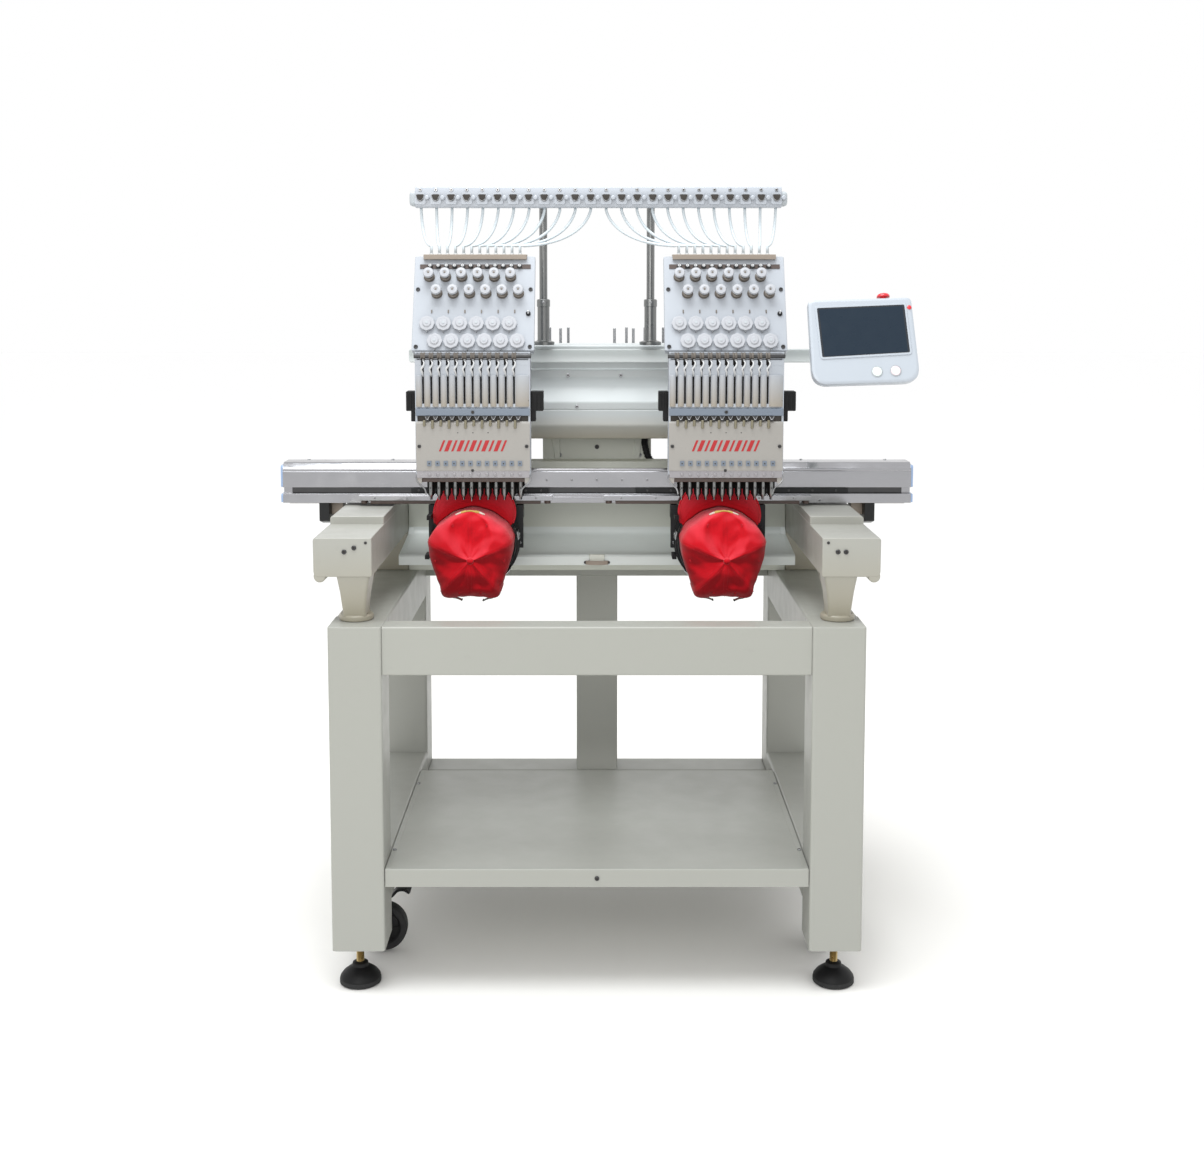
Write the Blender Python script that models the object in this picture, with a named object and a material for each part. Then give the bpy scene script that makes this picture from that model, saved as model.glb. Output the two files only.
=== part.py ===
"""Two-head, twelve-needle embroidery machine on its welded stand.

Metres, +Z up, +X to the operator's right, the operator stands at -Y.
The origin is the middle of the machine's footprint, on the floor.
A depth is measured backwards from the front faces of the stand's legs.
"""
from math import cos, pi, radians, sin

import bmesh
import bpy
from mathutils import Euler, Matrix, Vector

GAP = 0.0003

# Stand
STAND_DEPTH = 0.820
LEG = 0.100
LEG_INNER_X = 0.400
LEG_OUTER_X = LEG_INNER_X + LEG
LEG_BOTTOM_Z = 0.081
STAND_TOP_Z = 0.703
RAIL_HEIGHT = 0.092
LOW_RAIL_Z = (0.145, 0.240)
FRONT_RAIL_D = (0.005, 0.058)
SHELF_D = (0.005, 0.587)
SHELF_Z = (0.205, 0.240)
SHELF_SHEET = 0.003
REAR_D = (0.725, 0.815)
REAR_TOP_Z = 0.660
REAR_LOW_Z = (0.105, 0.195)
POST_HALF = 0.048

# Levelling feet and casters
FOOT_X = 0.455
FOOT_D = 0.050
FOOT_RADIUS = 0.040
STUD_RADIUS = 0.0075
CASTER_X = 0.455
CASTER_D = 0.185
CASTER_TRAIL = 0.026
WHEEL_RADIUS = 0.048
WHEEL_HALF = 0.014
AXLE_Z = 0.052
AXLE_RADIUS = 0.004
FORK_GAP = 0.0165
FORK_PLATE = 0.005
FORK_BRIDGE_Z = (0.1035, 0.113)
SWIVEL_RADIUS = 0.028

# Machine base, arms, column and beam
BASE_HALF = 0.4195
BASE_BOX_D = (0.571, 0.800)
BASE_TOP_Z = 0.885
BASE_WALL = 0.008
TRAY_D = 0.400
TRAY_Z = (0.763, 0.785)
ARM_X = (0.420, 0.530)
ARM_FRONT_D = 0.030
ARM_STEP_D = 0.198
ARM_REAR_D = 0.600
ARM_TOP_Z = (0.866, 0.881)
ARM_BOTTOM_Z = 0.792
COLUMN_HALF = 0.120
COLUMN_FLANGE_HALF = 0.150
COLUMN_D = (0.573, 0.655)
BEAM_HALF = 0.352
BEAM_BOTTOM_Z = 1.005
BEAM_TOP_Z = 1.208
BEAM_FRONT_D = 0.480
BEAM_REAR_D = 0.640

# Sewing heads
HEADS = {"left": -0.250, "right": 0.250}
NEEDLES = 12
NEEDLE_PITCH = 0.0163
ACTIVE_NEEDLE = 5
NEEDLE_SHIFT = NEEDLE_PITCH * ((NEEDLES - 1) / 2 - ACTIVE_NEEDLE)
CASE_SHIFT = 0.005
NEEDLE_D = 0.235
HEAD_HALF = 0.085
HEAD_D = (0.262, BEAM_FRONT_D - GAP)
HEAD_Z = (0.985, 1.200)
CASE_HALF = 0.113
CASE_D = (0.215, 0.258)
CASE_Z = (0.955, 1.205)
LEVER_WINDOW_Z = (1.085, 1.190)
SIDE_BLOCK_X = 0.134
SIDE_BLOCK_Z = (1.080, 1.122)
TENSION_HALF = 0.120
TENSION_LOW = (0.225, CASE_Z[1] + GAP)
TENSION_HIGH = (0.305, 1.395)
TENSION_THICK = 0.020
LEVER_PIVOT = (0.230, 1.160)
NEEDLE_TIP_Z = 0.905
GUIDE_HALF = 0.100
GUIDE_D = (0.228, 0.246)
GUIDE_Z = ((0.959, 0.965), (1.066, 1.074))

# Thread stand
RAIL_X = (-0.382, 0.388)
RAIL_D = (0.345, 0.375)
RAIL_Z = (1.493, 1.535)
THREAD_PITCH = 0.0315
TUBE_RADIUS = 0.0027
COMB_D = (0.308, 0.328)
COMB_Z = (TENSION_HIGH[1] + GAP, 1.407)
POST_X = 0.115
POST_D = 0.500
SPOOL_TRAY_D = (BEAM_REAR_D + GAP, 0.815)
SPOOL_TRAY_Z = (1.130, 1.142)
SPOOL_PIN_TOP_Z = 1.240
SPOOL_PITCH = 0.043

# Beds, hooks and drive
BED_HALF = 0.035
BED_D = (0.205, BASE_BOX_D[0] - GAP)
BED_Z = (0.800, 0.880)
BED_WALL = 0.005
BED_BEVEL = 0.012
HOOK_Z = 0.835
HOOK_RADIUS = 0.022
LOWER_SHAFT_D = 0.615
UPPER_SHAFT = (0.600, 1.120)
SHAFT_RADIUS = 0.009
PULLEY_RADIUS = 0.020
MOTOR_X = (0.306, 0.400)
MOTOR_RADIUS = 0.035

# Pantograph and caps
XBEAM_HALF = 0.655
XBEAM_D = (0.350, 0.425)
XBEAM_Z = (0.886, 0.970)
CARRIAGE_D = (0.3343, XBEAM_D[0] - GAP)
CARRIAGE_Z = (0.8858, 0.904)
CARRIAGE_BARS = ((-0.4915, -0.0925), (0.0144, 0.442))
CAP_Z = 0.812
CAP_RADIUS = 0.088
CAP_WALL = 0.0025
CAP_D = (0.150, 0.285)
CROWN_CORNER = radians(145)
CROWN_CORNER_WIDTH = radians(45)
CROWN_BULGE = 0.018
CROWN_SAG = 0.011
BILL_TOP_RADIUS = 0.1225
BILL_D = 0.328
BILL_SWEEP = radians(52)
SLEEVE_RADII = (0.0800, 0.0850)
SLEEVE_D = (0.2855, 0.3330)
FLANGE_RADIUS = 0.0920
FLANGE_D = (0.320, 0.328)
HOLDER_HALF = 0.098

# Control panel
BAR_D = 0.505
BAR_Z = 1.185
BAR_LEFT_X = -0.405
SWING_X = 0.480
PANEL_CENTRE = (0.500, 0.100, 1.2268)
PANEL_SIZE = (0.205, 0.026, 0.167)
PANEL_TURN = (radians(-20), radians(-1.7), radians(1.7))
PANEL_PIN = (0.150, 1.190)
PIN_RADIUS = 0.007
BUTTON_RADIUS = 0.0095
BUTTON_PLACES = {"start_button": (0.0205, -0.0620), "stop_button": (0.0555, -0.0615)}
ESTOP_U = 0.048

CREAM = ((0.62, 0.62, 0.57), 0.45, 0.0)
WHITE = ((0.74, 0.77, 0.80), 0.40, 0.0)
ALUMINIUM = ((0.72, 0.74, 0.77), 0.35, 0.9)
STEEL = ((0.55, 0.55, 0.56), 0.30, 1.0)
BLACK = ((0.03, 0.03, 0.03), 0.50, 0.0)
RED = ((0.55, 0.02, 0.03), 0.80, 0.0)
NYLON = ((0.80, 0.83, 0.84), 0.35, 0.0)


def clear_scene():
    for old in list(bpy.data.objects):
        bpy.data.objects.remove(old)


def paint(obj, finish):
    """Give the object its own Principled material."""
    colour, roughness, metallic = finish
    material = bpy.data.materials.new(obj.name)
    material.use_nodes = True
    shader = material.node_tree.nodes["Principled BSDF"]
    shader.inputs["Base Color"].default_value = (*colour, 1.0)
    shader.inputs["Roughness"].default_value = roughness
    shader.inputs["Metallic"].default_value = metallic
    obj.data.materials.clear()
    obj.data.materials.append(material)


def world_y(depth):
    """World Y of a depth behind the front faces of the legs."""
    return depth - STAND_DEPTH / 2


def shape(bm):
    """Turn a bmesh into an object with its faces pointing out."""
    bmesh.ops.recalc_face_normals(bm, faces=bm.faces)
    mesh = bpy.data.meshes.new("shape")
    bm.to_mesh(mesh)
    bm.free()
    obj = bpy.data.objects.new("shape", mesh)
    bpy.context.scene.collection.objects.link(obj)
    return obj


def block(x, d, z, bevel=0.0):
    """A box between two X, two depths and two heights."""
    bm = bmesh.new()
    bmesh.ops.create_cube(bm, size=1.0)
    size = Vector((x[1] - x[0], d[1] - d[0], z[1] - z[0]))
    middle = Vector((sum(x) / 2, world_y(sum(d) / 2), sum(z) / 2))
    bmesh.ops.scale(bm, vec=size, verts=bm.verts)
    bmesh.ops.translate(bm, vec=middle, verts=bm.verts)
    if bevel:
        bmesh.ops.bevel(bm, geom=bm.edges, offset=bevel, segments=1, affect="EDGES")
    return shape(bm)


def around(middle, half):
    return (middle - half, middle + half)


def loft(sections):
    """Skin a row of closed outlines that have the same number of points."""
    bm = bmesh.new()
    rows = []
    for section in sections:
        rows.append([bm.verts.new(point) for point in section])
    for first, second in zip(rows, rows[1:]):
        for k, start in enumerate(first):
            following = (k + 1) % len(first)
            bm.faces.new((start, first[following], second[following], second[k]))
    bm.faces.new(rows[0])
    bm.faces.new(reversed(rows[-1]))
    return shape(bm)


def prism_x(outline, x):
    """Extrude an outline of (depth, height) points along X."""
    return loft([[(side, world_y(d), z) for d, z in outline] for side in x])


def prism_d(outline, d):
    """Extrude an outline of (x, height) points from front to back."""
    return loft([[(x, world_y(depth), z) for x, z in outline] for depth in d])


def rod(start, end, radius, sides=12):
    """A round bar between two (x, depth, z) points."""
    first = Vector((start[0], world_y(start[1]), start[2]))
    last = Vector((end[0], world_y(end[1]), end[2]))
    turn = (last - first).to_track_quat("Z", "Y")
    sections = []
    for middle in (first, last):
        ring = []
        for k in range(sides):
            angle = 2 * pi * (k + 0.5) / sides
            ring.append(middle + turn @ Vector((radius * cos(angle), radius * sin(angle), 0)))
        sections.append(ring)
    return loft(sections)


def turned(profile, centre, axis, sides):
    """Revolve (radius, distance) points about an axis through a (x, depth, z) centre.

    A profile that starts and ends on the axis is a solid; any other one is a closed ring.
    """
    turn = Vector(axis).to_track_quat("Z", "Y")
    middle = Vector((centre[0], world_y(centre[1]), centre[2]))
    bm = bmesh.new()
    rings = []
    for radius, distance in profile:
        if radius == 0:
            rings.append([bm.verts.new(middle + turn @ Vector((0, 0, distance)))])
            continue
        ring = []
        for k in range(sides):
            angle = 2 * pi * (k + 0.5) / sides
            spot = Vector((radius * cos(angle), radius * sin(angle), distance))
            ring.append(bm.verts.new(middle + turn @ spot))
        rings.append(ring)
    pairs = list(zip(rings, rings[1:]))
    if profile[0][0] > 0:
        pairs.append((rings[-1], rings[0]))
    for first, second in pairs:
        for k in range(sides):
            corners = [first[k % len(first)], first[(k + 1) % len(first)],
                       second[(k + 1) % len(second)], second[k % len(second)]]
            bm.faces.new(list(dict.fromkeys(corners)))
    return shape(bm)


def smooth_route(points, steps):
    """Points on a Catmull-Rom curve through the given (x, depth, z) points."""
    spots = [Vector(point) for point in points]
    spots = [2 * spots[0] - spots[1]] + spots + [2 * spots[-1] - spots[-2]]
    route = []
    for a, b, c, d in zip(spots, spots[1:], spots[2:], spots[3:]):
        for k in range(steps):
            t = k / steps
            route.append(0.5 * (2 * b + (c - a) * t + (2 * a - 5 * b + 4 * c - d) * t ** 2
                                + (3 * b - a - 3 * c + d) * t ** 3))
    route.append(spots[-2])
    return route


def tube(points, radius, sides=8):
    """A solid bar that follows (x, depth, z) points."""
    route = [Vector((x, world_y(d), z)) for x, d, z in points]
    sections = []
    side = None
    for k, spot in enumerate(route):
        ahead = route[min(k + 1, len(route) - 1)] - route[max(k - 1, 0)]
        ahead.normalize()
        if side is None:
            side = ahead.orthogonal()
        side = (side - ahead * side.dot(ahead)).normalized()
        other = ahead.cross(side)
        ring = []
        for n in range(sides):
            angle = 2 * pi * n / sides
            ring.append(spot + radius * (cos(angle) * side + sin(angle) * other))
        sections.append(ring)
    return loft(sections)


def combine(base, others, operation):
    """Apply a Boolean of the base with each other shape, and drop the other shapes."""
    for other in others:
        modifier = base.modifiers.new(operation, "BOOLEAN")
        modifier.operation = operation
        modifier.object = other
    graph = bpy.context.evaluated_depsgraph_get()
    mesh = bpy.data.meshes.new_from_object(base.evaluated_get(graph))
    base.modifiers.clear()
    base.data = mesh
    for other in others:
        bpy.data.objects.remove(other)
    return base


def weld(*shapes):
    return combine(shapes[0], shapes[1:], "UNION")


def cut(base, *cutters):
    return combine(base, cutters, "DIFFERENCE")


def name_part(obj, name, finish, origin=None, parent=None):
    """Name a finished piece, paint it and put its origin on its (x, depth, z) joint axis."""
    obj.name = name
    obj.data.name = name
    paint(obj, finish)
    obj.data.shade_smooth()
    obj.data.set_sharp_from_angle(angle=radians(35))
    if origin:
        place = Vector((origin[0], world_y(origin[1]), origin[2]))
        obj.data.transform(Matrix.Translation(-place))
        obj.location = place
    if parent:
        bpy.context.view_layer.update()
        obj.parent = parent
        obj.matrix_parent_inverse = parent.matrix_world.inverted()
    return obj


# ---------------------------------------------------------------- stand

def side_frame(side):
    """Two legs, a top rail and a lower rail, welded into one frame."""
    x = sorted((side * LEG_INNER_X, side * LEG_OUTER_X))
    front = block(x, (0, LEG), (LEG_BOTTOM_Z, STAND_TOP_Z))
    rear = block(x, (STAND_DEPTH - LEG, STAND_DEPTH), (LEG_BOTTOM_Z, STAND_TOP_Z))
    inside = (LEG / 2, STAND_DEPTH - LEG / 2)
    top = block(x, inside, (STAND_TOP_Z - RAIL_HEIGHT, STAND_TOP_Z))
    low = block(x, inside, LOW_RAIL_Z)
    return weld(front, rear, top, low)


def lower_shelf():
    """A folded sheet-metal shelf, open underneath."""
    half = LEG_INNER_X - 2 * GAP
    pan = block((-half, half), SHELF_D, SHELF_Z)
    hollow = block((-half + SHELF_SHEET, half - SHELF_SHEET),
                   (SHELF_D[0] + SHELF_SHEET, SHELF_D[1] - SHELF_SHEET),
                   (SHELF_Z[0] - 0.01, SHELF_Z[1] - SHELF_SHEET))
    return cut(pan, hollow)


def rear_cross_frame():
    """Top rail, centre post and lower rail between the rear legs."""
    half = LEG_INNER_X - GAP
    top = block((-half, half), REAR_D, (REAR_TOP_Z, STAND_TOP_Z))
    low = block((-half, half), REAR_D, REAR_LOW_Z)
    post = block((-POST_HALF, POST_HALF), (REAR_D[0] + 0.005, REAR_D[1] - 0.005),
                 (REAR_LOW_Z[0] + 0.02, STAND_TOP_Z - 0.01))
    return weld(top, low, post)


def levelling_foot(x, d):
    profile = [(0, 0), (FOOT_RADIUS - 0.002, 0), (FOOT_RADIUS, 0.004), (FOOT_RADIUS - 0.002, 0.012),
               (FOOT_RADIUS - 0.011, 0.024), (0.013, 0.033), (0.009, 0.036), (STUD_RADIUS, 0.040),
               (STUD_RADIUS, 0.069), (0.0125, 0.0692), (0.0125, LEG_BOTTOM_Z - GAP),
               (0, LEG_BOTTOM_Z - GAP)]
    return turned(profile, (x, d, 0), (0, 0, 1), 16)


def caster_fork(x, d):
    """Swivel head, bridge, two cheeks and axle; the wheel trails towards +X."""
    top = LOW_RAIL_Z[0] - GAP
    head = rod((x, d, FORK_BRIDGE_Z[0] + 0.002), (x, d, top), SWIVEL_RADIUS, 16)
    cheek = FORK_GAP + FORK_PLATE
    bridge = block((x - 0.020, x + CASTER_TRAIL + 0.014), around(d, cheek), FORK_BRIDGE_Z)
    axle_x = x + CASTER_TRAIL
    axle = rod((axle_x, d - cheek - 0.002, AXLE_Z), (axle_x, d + cheek + 0.002, AXLE_Z),
               AXLE_RADIUS, 10)
    plates = []
    for side in (-1, 1):
        outline = [(x - 0.018, FORK_BRIDGE_Z[0] + 0.003), (x + CASTER_TRAIL + 0.012,
                   FORK_BRIDGE_Z[0] + 0.003), (axle_x + 0.010, AXLE_Z - 0.010),
                   (axle_x - 0.010, AXLE_Z - 0.010)]
        faces = sorted((d + side * FORK_GAP, d + side * (cheek - 0.0004)))
        plates.append(prism_d(outline, faces))
    pedal = prism_d([(x + 0.030, 0.107), (x + 0.044, 0.107), (x + 0.062, 0.124),
                     (x + 0.078, 0.120), (x + 0.064, 0.133), (x + 0.050, 0.131)],
                    around(d, 0.012))
    return weld(bridge, head, axle, pedal, *plates)


def caster_wheel(x, d):
    rim = WHEEL_RADIUS - 0.004
    profile = [(AXLE_RADIUS + GAP, -WHEEL_HALF), (rim, -WHEEL_HALF), (WHEEL_RADIUS, -WHEEL_HALF * 0.6),
               (WHEEL_RADIUS, WHEEL_HALF * 0.6), (rim, WHEEL_HALF), (AXLE_RADIUS + GAP, WHEEL_HALF)]
    return turned(profile, (x + CASTER_TRAIL, d, AXLE_Z), (0, 1, 0), 24)


def make_stand():
    for side, word in ((-1, "left"), (1, "right")):
        name_part(side_frame(side), f"side_frame_{word}", CREAM)
    half = LEG_INNER_X - GAP
    front = block((-half, half), FRONT_RAIL_D, (STAND_TOP_Z - RAIL_HEIGHT, STAND_TOP_Z))
    name_part(front, "stand_front_rail", CREAM)
    name_part(lower_shelf(), "lower_shelf", CREAM)
    name_part(rear_cross_frame(), "rear_cross_frame", CREAM)


def turn_about(obj, centre, angle):
    """Turn a piece's mesh about the vertical axis through a (x, depth) place."""
    place = Vector((centre[0], world_y(centre[1]), 0))
    spin = Matrix.Rotation(angle, 4, "Z")
    obj.data.transform(Matrix.Translation(place) @ spin @ Matrix.Translation(-place))


def make_feet_and_casters():
    """The left casters trail to the right, and the right ones trail backwards."""
    for side, across in ((-1, "left"), (1, "right")):
        for front, along in ((True, "front"), (False, "rear")):
            corner = f"{along}_{across}"
            foot_d = FOOT_D if front else STAND_DEPTH - FOOT_D
            foot_x = side * FOOT_X
            foot = levelling_foot(foot_x, foot_d)
            name_part(foot, f"levelling_foot_{corner}", BLACK, (foot_x, foot_d, 0))
            x = side * CASTER_X
            d = CASTER_D if front else STAND_DEPTH - CASTER_D
            fork = caster_fork(x, d)
            wheel = caster_wheel(x, d)
            axle = (x + CASTER_TRAIL, d, AXLE_Z)
            if side > 0:
                turn_about(fork, (x, d), pi / 2)
                turn_about(wheel, (x, d), pi / 2)
                axle = (x, d + CASTER_TRAIL, AXLE_Z)
            fork = name_part(fork, f"caster_fork_{corner}", STEEL, (x, d, LOW_RAIL_Z[0]))
            name_part(wheel, f"caster_wheel_{corner}", BLACK, axle, fork)


# ---------------------------------------------------------------- machine frame

def machine_base():
    """A folded box, open underneath, with a tray in front of it."""
    box = block((-BASE_HALF, BASE_HALF), BASE_BOX_D, (STAND_TOP_Z + GAP, BASE_TOP_Z))
    tray = block((-BASE_HALF, BASE_HALF), (TRAY_D, BASE_BOX_D[0] + BASE_WALL / 2), TRAY_Z)
    hollow = block(around(0, BASE_HALF - BASE_WALL),
                   (BASE_BOX_D[0] + BASE_WALL, BASE_BOX_D[1] - BASE_WALL),
                   (STAND_TOP_Z - 0.01, BASE_TOP_Z - BASE_WALL))
    belt_slot = block((-0.020, 0.020), (0.585, 0.665), around(BASE_TOP_Z, 0.02))
    holes = [rod((x, BASE_BOX_D[0] - 0.01, HOOK_Z), (x, BASE_BOX_D[0] + 0.02, HOOK_Z), 0.007, 12)
             for x in HEADS.values()]
    spout = block(around(0, 0.022), (TRAY_D - 0.01, TRAY_D + 0.012), (TRAY_Z[0] + 0.008, TRAY_Z[1] + 0.01))
    return cut(weld(box, tray), hollow, belt_slot, spout, *holes)


def arm(side):
    """One side arm: a low front step, a higher rear step, a pedestal and a curved brace."""
    inner, outer = ARM_X
    front = prism_d([(side * x, z) for x, z in (
        (inner, ARM_BOTTOM_Z), (outer - 0.006, ARM_BOTTOM_Z), (outer, ARM_BOTTOM_Z + 0.006),
        (outer - 0.002, ARM_TOP_Z[0] - 0.008), (outer - 0.010, ARM_TOP_Z[0]),
        (inner, ARM_TOP_Z[0]))], (ARM_FRONT_D, ARM_REAR_D - 0.002))
    rear = prism_d([(side * x, z) for x, z in (
        (inner, ARM_BOTTOM_Z + 0.004), (outer - 0.003, ARM_BOTTOM_Z + 0.004),
        (outer - 0.003, ARM_TOP_Z[1] - 0.008), (outer - 0.010, ARM_TOP_Z[1]),
        (inner, ARM_TOP_Z[1]))], (ARM_STEP_D, ARM_REAR_D))
    heel_x = sorted((side * inner, side * (outer - 0.004)))
    heel = block(heel_x, (BASE_BOX_D[0], BASE_BOX_D[1]), (STAND_TOP_Z + GAP, ARM_TOP_Z[1] - 0.001))
    roll = rod((side * 0.5235, ARM_FRONT_D + 0.002, 0.793), (side * 0.5235, ARM_REAR_D - 0.01, 0.793),
               0.0118, 12)
    pedestal_top = [(side * x, world_y(d), ARM_BOTTOM_Z + 0.008)
                    for x, d in ((0.422, 0.034), (0.487, 0.034), (0.487, 0.112), (0.422, 0.112))]
    pedestal_foot = [(side * x, world_y(d), 0.714)
                     for x, d in ((0.434, 0.048), (0.480, 0.048), (0.480, 0.102), (0.434, 0.102))]
    pedestal = loft([pedestal_foot, pedestal_top])
    collar = rod((side * 0.457, 0.075, STAND_TOP_Z + GAP), (side * 0.457, 0.075, 0.716), 0.032, 16)
    reach = 0.300
    drop = ARM_BOTTOM_Z + 0.004 - 0.716
    arc = [(0.100 + reach * (1 - cos(t)), 0.716 + drop * sin(t))
           for t in [pi / 2 * k / 6 for k in range(7)]]
    brace = prism_x(arc + [(0.098, ARM_BOTTOM_Z + 0.004)], sorted((side * 0.440, side * 0.452)))
    return weld(front, rear, heel, roll, pedestal, collar, brace)


def center_column():
    """A hollow column with a flared foot; the drive belt runs inside it."""
    low = BASE_TOP_Z + GAP
    high = BEAM_BOTTOM_Z - GAP
    right = [(COLUMN_FLANGE_HALF, low), (COLUMN_FLANGE_HALF, low + 0.012), (COLUMN_HALF, low + 0.040),
             (COLUMN_HALF, high)]
    left = [(-x, z) for x, z in reversed(right)]
    body = prism_d(right + left, COLUMN_D)
    hollow = block((-0.100, 0.100), (COLUMN_D[0] + 0.006, COLUMN_D[1] - 0.008), (low - 0.01, high + 0.01))
    return cut(body, hollow)


def upper_beam():
    """The beam that carries both heads, an open-ended box."""
    outline = [(0.500, BEAM_BOTTOM_Z), (BEAM_REAR_D, BEAM_BOTTOM_Z), (BEAM_REAR_D, BEAM_TOP_Z),
               (0.534, BEAM_TOP_Z), (0.530, 1.204), (0.530, 1.155), (0.524, 1.153), (0.524, 1.136),
               (BEAM_FRONT_D, 1.085), (BEAM_FRONT_D, 1.035)]
    beam = prism_x(outline, (-BEAM_HALF, BEAM_HALF))
    hollow = block(around(0, BEAM_HALF + 0.01), (0.545, 0.632), (1.015, 1.190))
    belt_slot = block((-0.020, 0.020), (0.570, 0.6315), around(BEAM_BOTTOM_Z, 0.02))
    return cut(beam, hollow, belt_slot)


def cable_conduit():
    """The conduit from the beam's underside down to the base."""
    bend = [(0.106, 0.552, 0.995), (0.106, 0.552, 0.980), (0.118, 0.553, 0.952), (0.150, 0.564, 0.928),
            (0.182, 0.588, 0.915), (0.190, 0.600, 0.900)]
    start = (0.106, 0.552, BEAM_BOTTOM_Z - GAP)
    end = (0.190, 0.600, BASE_TOP_Z + GAP)
    return tube([start] + smooth_route(bend, 3) + [end], 0.008, 10)


def make_machine_frame():
    name_part(machine_base(), "machine_base", CREAM)
    for side, word in ((-1, "left"), (1, "right")):
        name_part(arm(side), f"arm_{word}", CREAM)
    name_part(center_column(), "center_column", CREAM)
    name_part(upper_beam(), "upper_beam", WHITE)
    name_part(cable_conduit(), "cable_conduit", BLACK)


# ---------------------------------------------------------------- thread stand

def thread_post(x):
    """A stepped post on the beam, with a stub forward to the thread rail."""
    lower = rod((x, POST_D, 1.150), (x, POST_D, 1.305), 0.013, 16)
    upper = rod((x, POST_D, 1.290), (x, POST_D, 1.528), 0.0085, 12)
    stub = rod((x, POST_D, 1.514), (x, RAIL_D[1] + GAP, 1.514), 0.0065, 10)
    return weld(lower, upper, stub)


def thread_rail():
    low, high = RAIL_Z
    left, right = RAIL_X
    outline = [(left, low + 0.008), (left + 0.008, low), (right - 0.008, low), (right, low + 0.008),
               (right, high - 0.008), (right - 0.008, high), (left + 0.008, high), (left, high - 0.008)]
    return prism_d(outline, RAIL_D)


def spool_tray():
    """A tray behind the beam with two staggered rows of spool pins on each half."""
    plate = block((-0.345, 0.345), SPOOL_TRAY_D, SPOOL_TRAY_Z)
    pins = []
    for start, d, step in ((-0.083, 0.690, -1), (-0.067, 0.775, -1), (0.040, 0.690, 1), (0.069, 0.775, 1)):
        for k in range(NEEDLES // 2):
            x = start + step * k * SPOOL_PITCH
            pins.append(rod((x, d, SPOOL_TRAY_Z[0] + 0.004), (x, d, SPOOL_PIN_TOP_Z), 0.0035, 6))
    return weld(plate, *pins)


def comb_and_tubes(word):
    """The guide comb on a tension panel, with the thread tubes that come down from the rail."""
    centre = HEADS[word] + CASE_SHIFT
    comb = block(around(centre, 0.104), COMB_D, COMB_Z)
    first = 0 if word == "left" else NEEDLES
    rail_middle = sum(RAIL_X) / 2
    entry = COMB_Z[1] - 0.004
    tubes = []
    for k in range(NEEDLES):
        top_x = rail_middle + (first + k - (2 * NEEDLES - 1) / 2) * THREAD_PITCH
        end_x = centre + (k - (NEEDLES - 1) / 2) * NEEDLE_PITCH
        lean = top_x - end_x
        mouth = Vector((top_x, 0.360, RAIL_Z[0] - GAP))
        top = mouth - Vector((0, 0, 0.005))
        high = Vector((top_x - 0.10 * lean, 0.358, top.z - 0.050))
        low = Vector((end_x + 0.34 * lean, 0.322, entry + 0.012))
        end = Vector((end_x, 0.318, entry))
        points = [mouth]
        for n in range(8):
            t = n / 7
            points.append((1 - t) ** 3 * top + 3 * t * (1 - t) ** 2 * high
                          + 3 * t * t * (1 - t) * low + t ** 3 * end)
        tubes.append(tube(points, TUBE_RADIUS, 6))
    return weld(comb, *tubes)


def make_thread_stand():
    for side, word in ((-1, "left"), (1, "right")):
        post = cut(thread_post(side * POST_X),
                   block(around(side * POST_X, 0.05), (0.45, 0.55), (1.10, BEAM_TOP_Z + GAP)))
        name_part(post, f"thread_post_{word}", STEEL)
    name_part(thread_rail(), "thread_rail", WHITE)
    name_part(spool_tray(), "spool_tray", WHITE)


# ---------------------------------------------------------------- drive

def shaft_with_discs(x, spot, radius, discs):
    """A shaft along X with discs (x, half width, radius) on it."""
    d, z = spot
    pieces = [rod((x[0], d, z), (x[1], d, z), radius, 12)]
    for middle, half, size in discs:
        pieces.append(rod((middle - half, d, z), (middle + half, d, z), size, 20))
    return weld(*pieces)


def drive_belt():
    """A flat belt around the pulleys of the upper and lower shafts."""
    upper = Vector((0, world_y(UPPER_SHAFT[0]), UPPER_SHAFT[1]))
    lower = Vector((0, world_y(LOWER_SHAFT_D), HOOK_Z))
    along = (upper - lower).normalized()
    across = along.cross(Vector((1, 0, 0)))
    rows = []
    for radius, x in ((0.0205, -0.006), (0.0225, -0.006), (0.0225, 0.006), (0.0205, 0.006)):
        row = []
        for middle, start in ((upper, 0.0), (lower, pi)):
            for k in range(9):
                angle = start + pi * k / 8
                spot = middle + radius * (cos(angle) * across + sin(angle) * along)
                row.append(spot + Vector((x, 0, 0)))
        rows.append(row)
    bm = bmesh.new()
    rings = [[bm.verts.new(point) for point in row] for row in rows]
    for k, ring in enumerate(rings):
        other = rings[(k + 1) % len(rings)]
        for n, start in enumerate(ring):
            following = (n + 1) % len(ring)
            bm.faces.new((start, ring[following], other[following], other[n]))
    return shape(bm)


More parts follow.
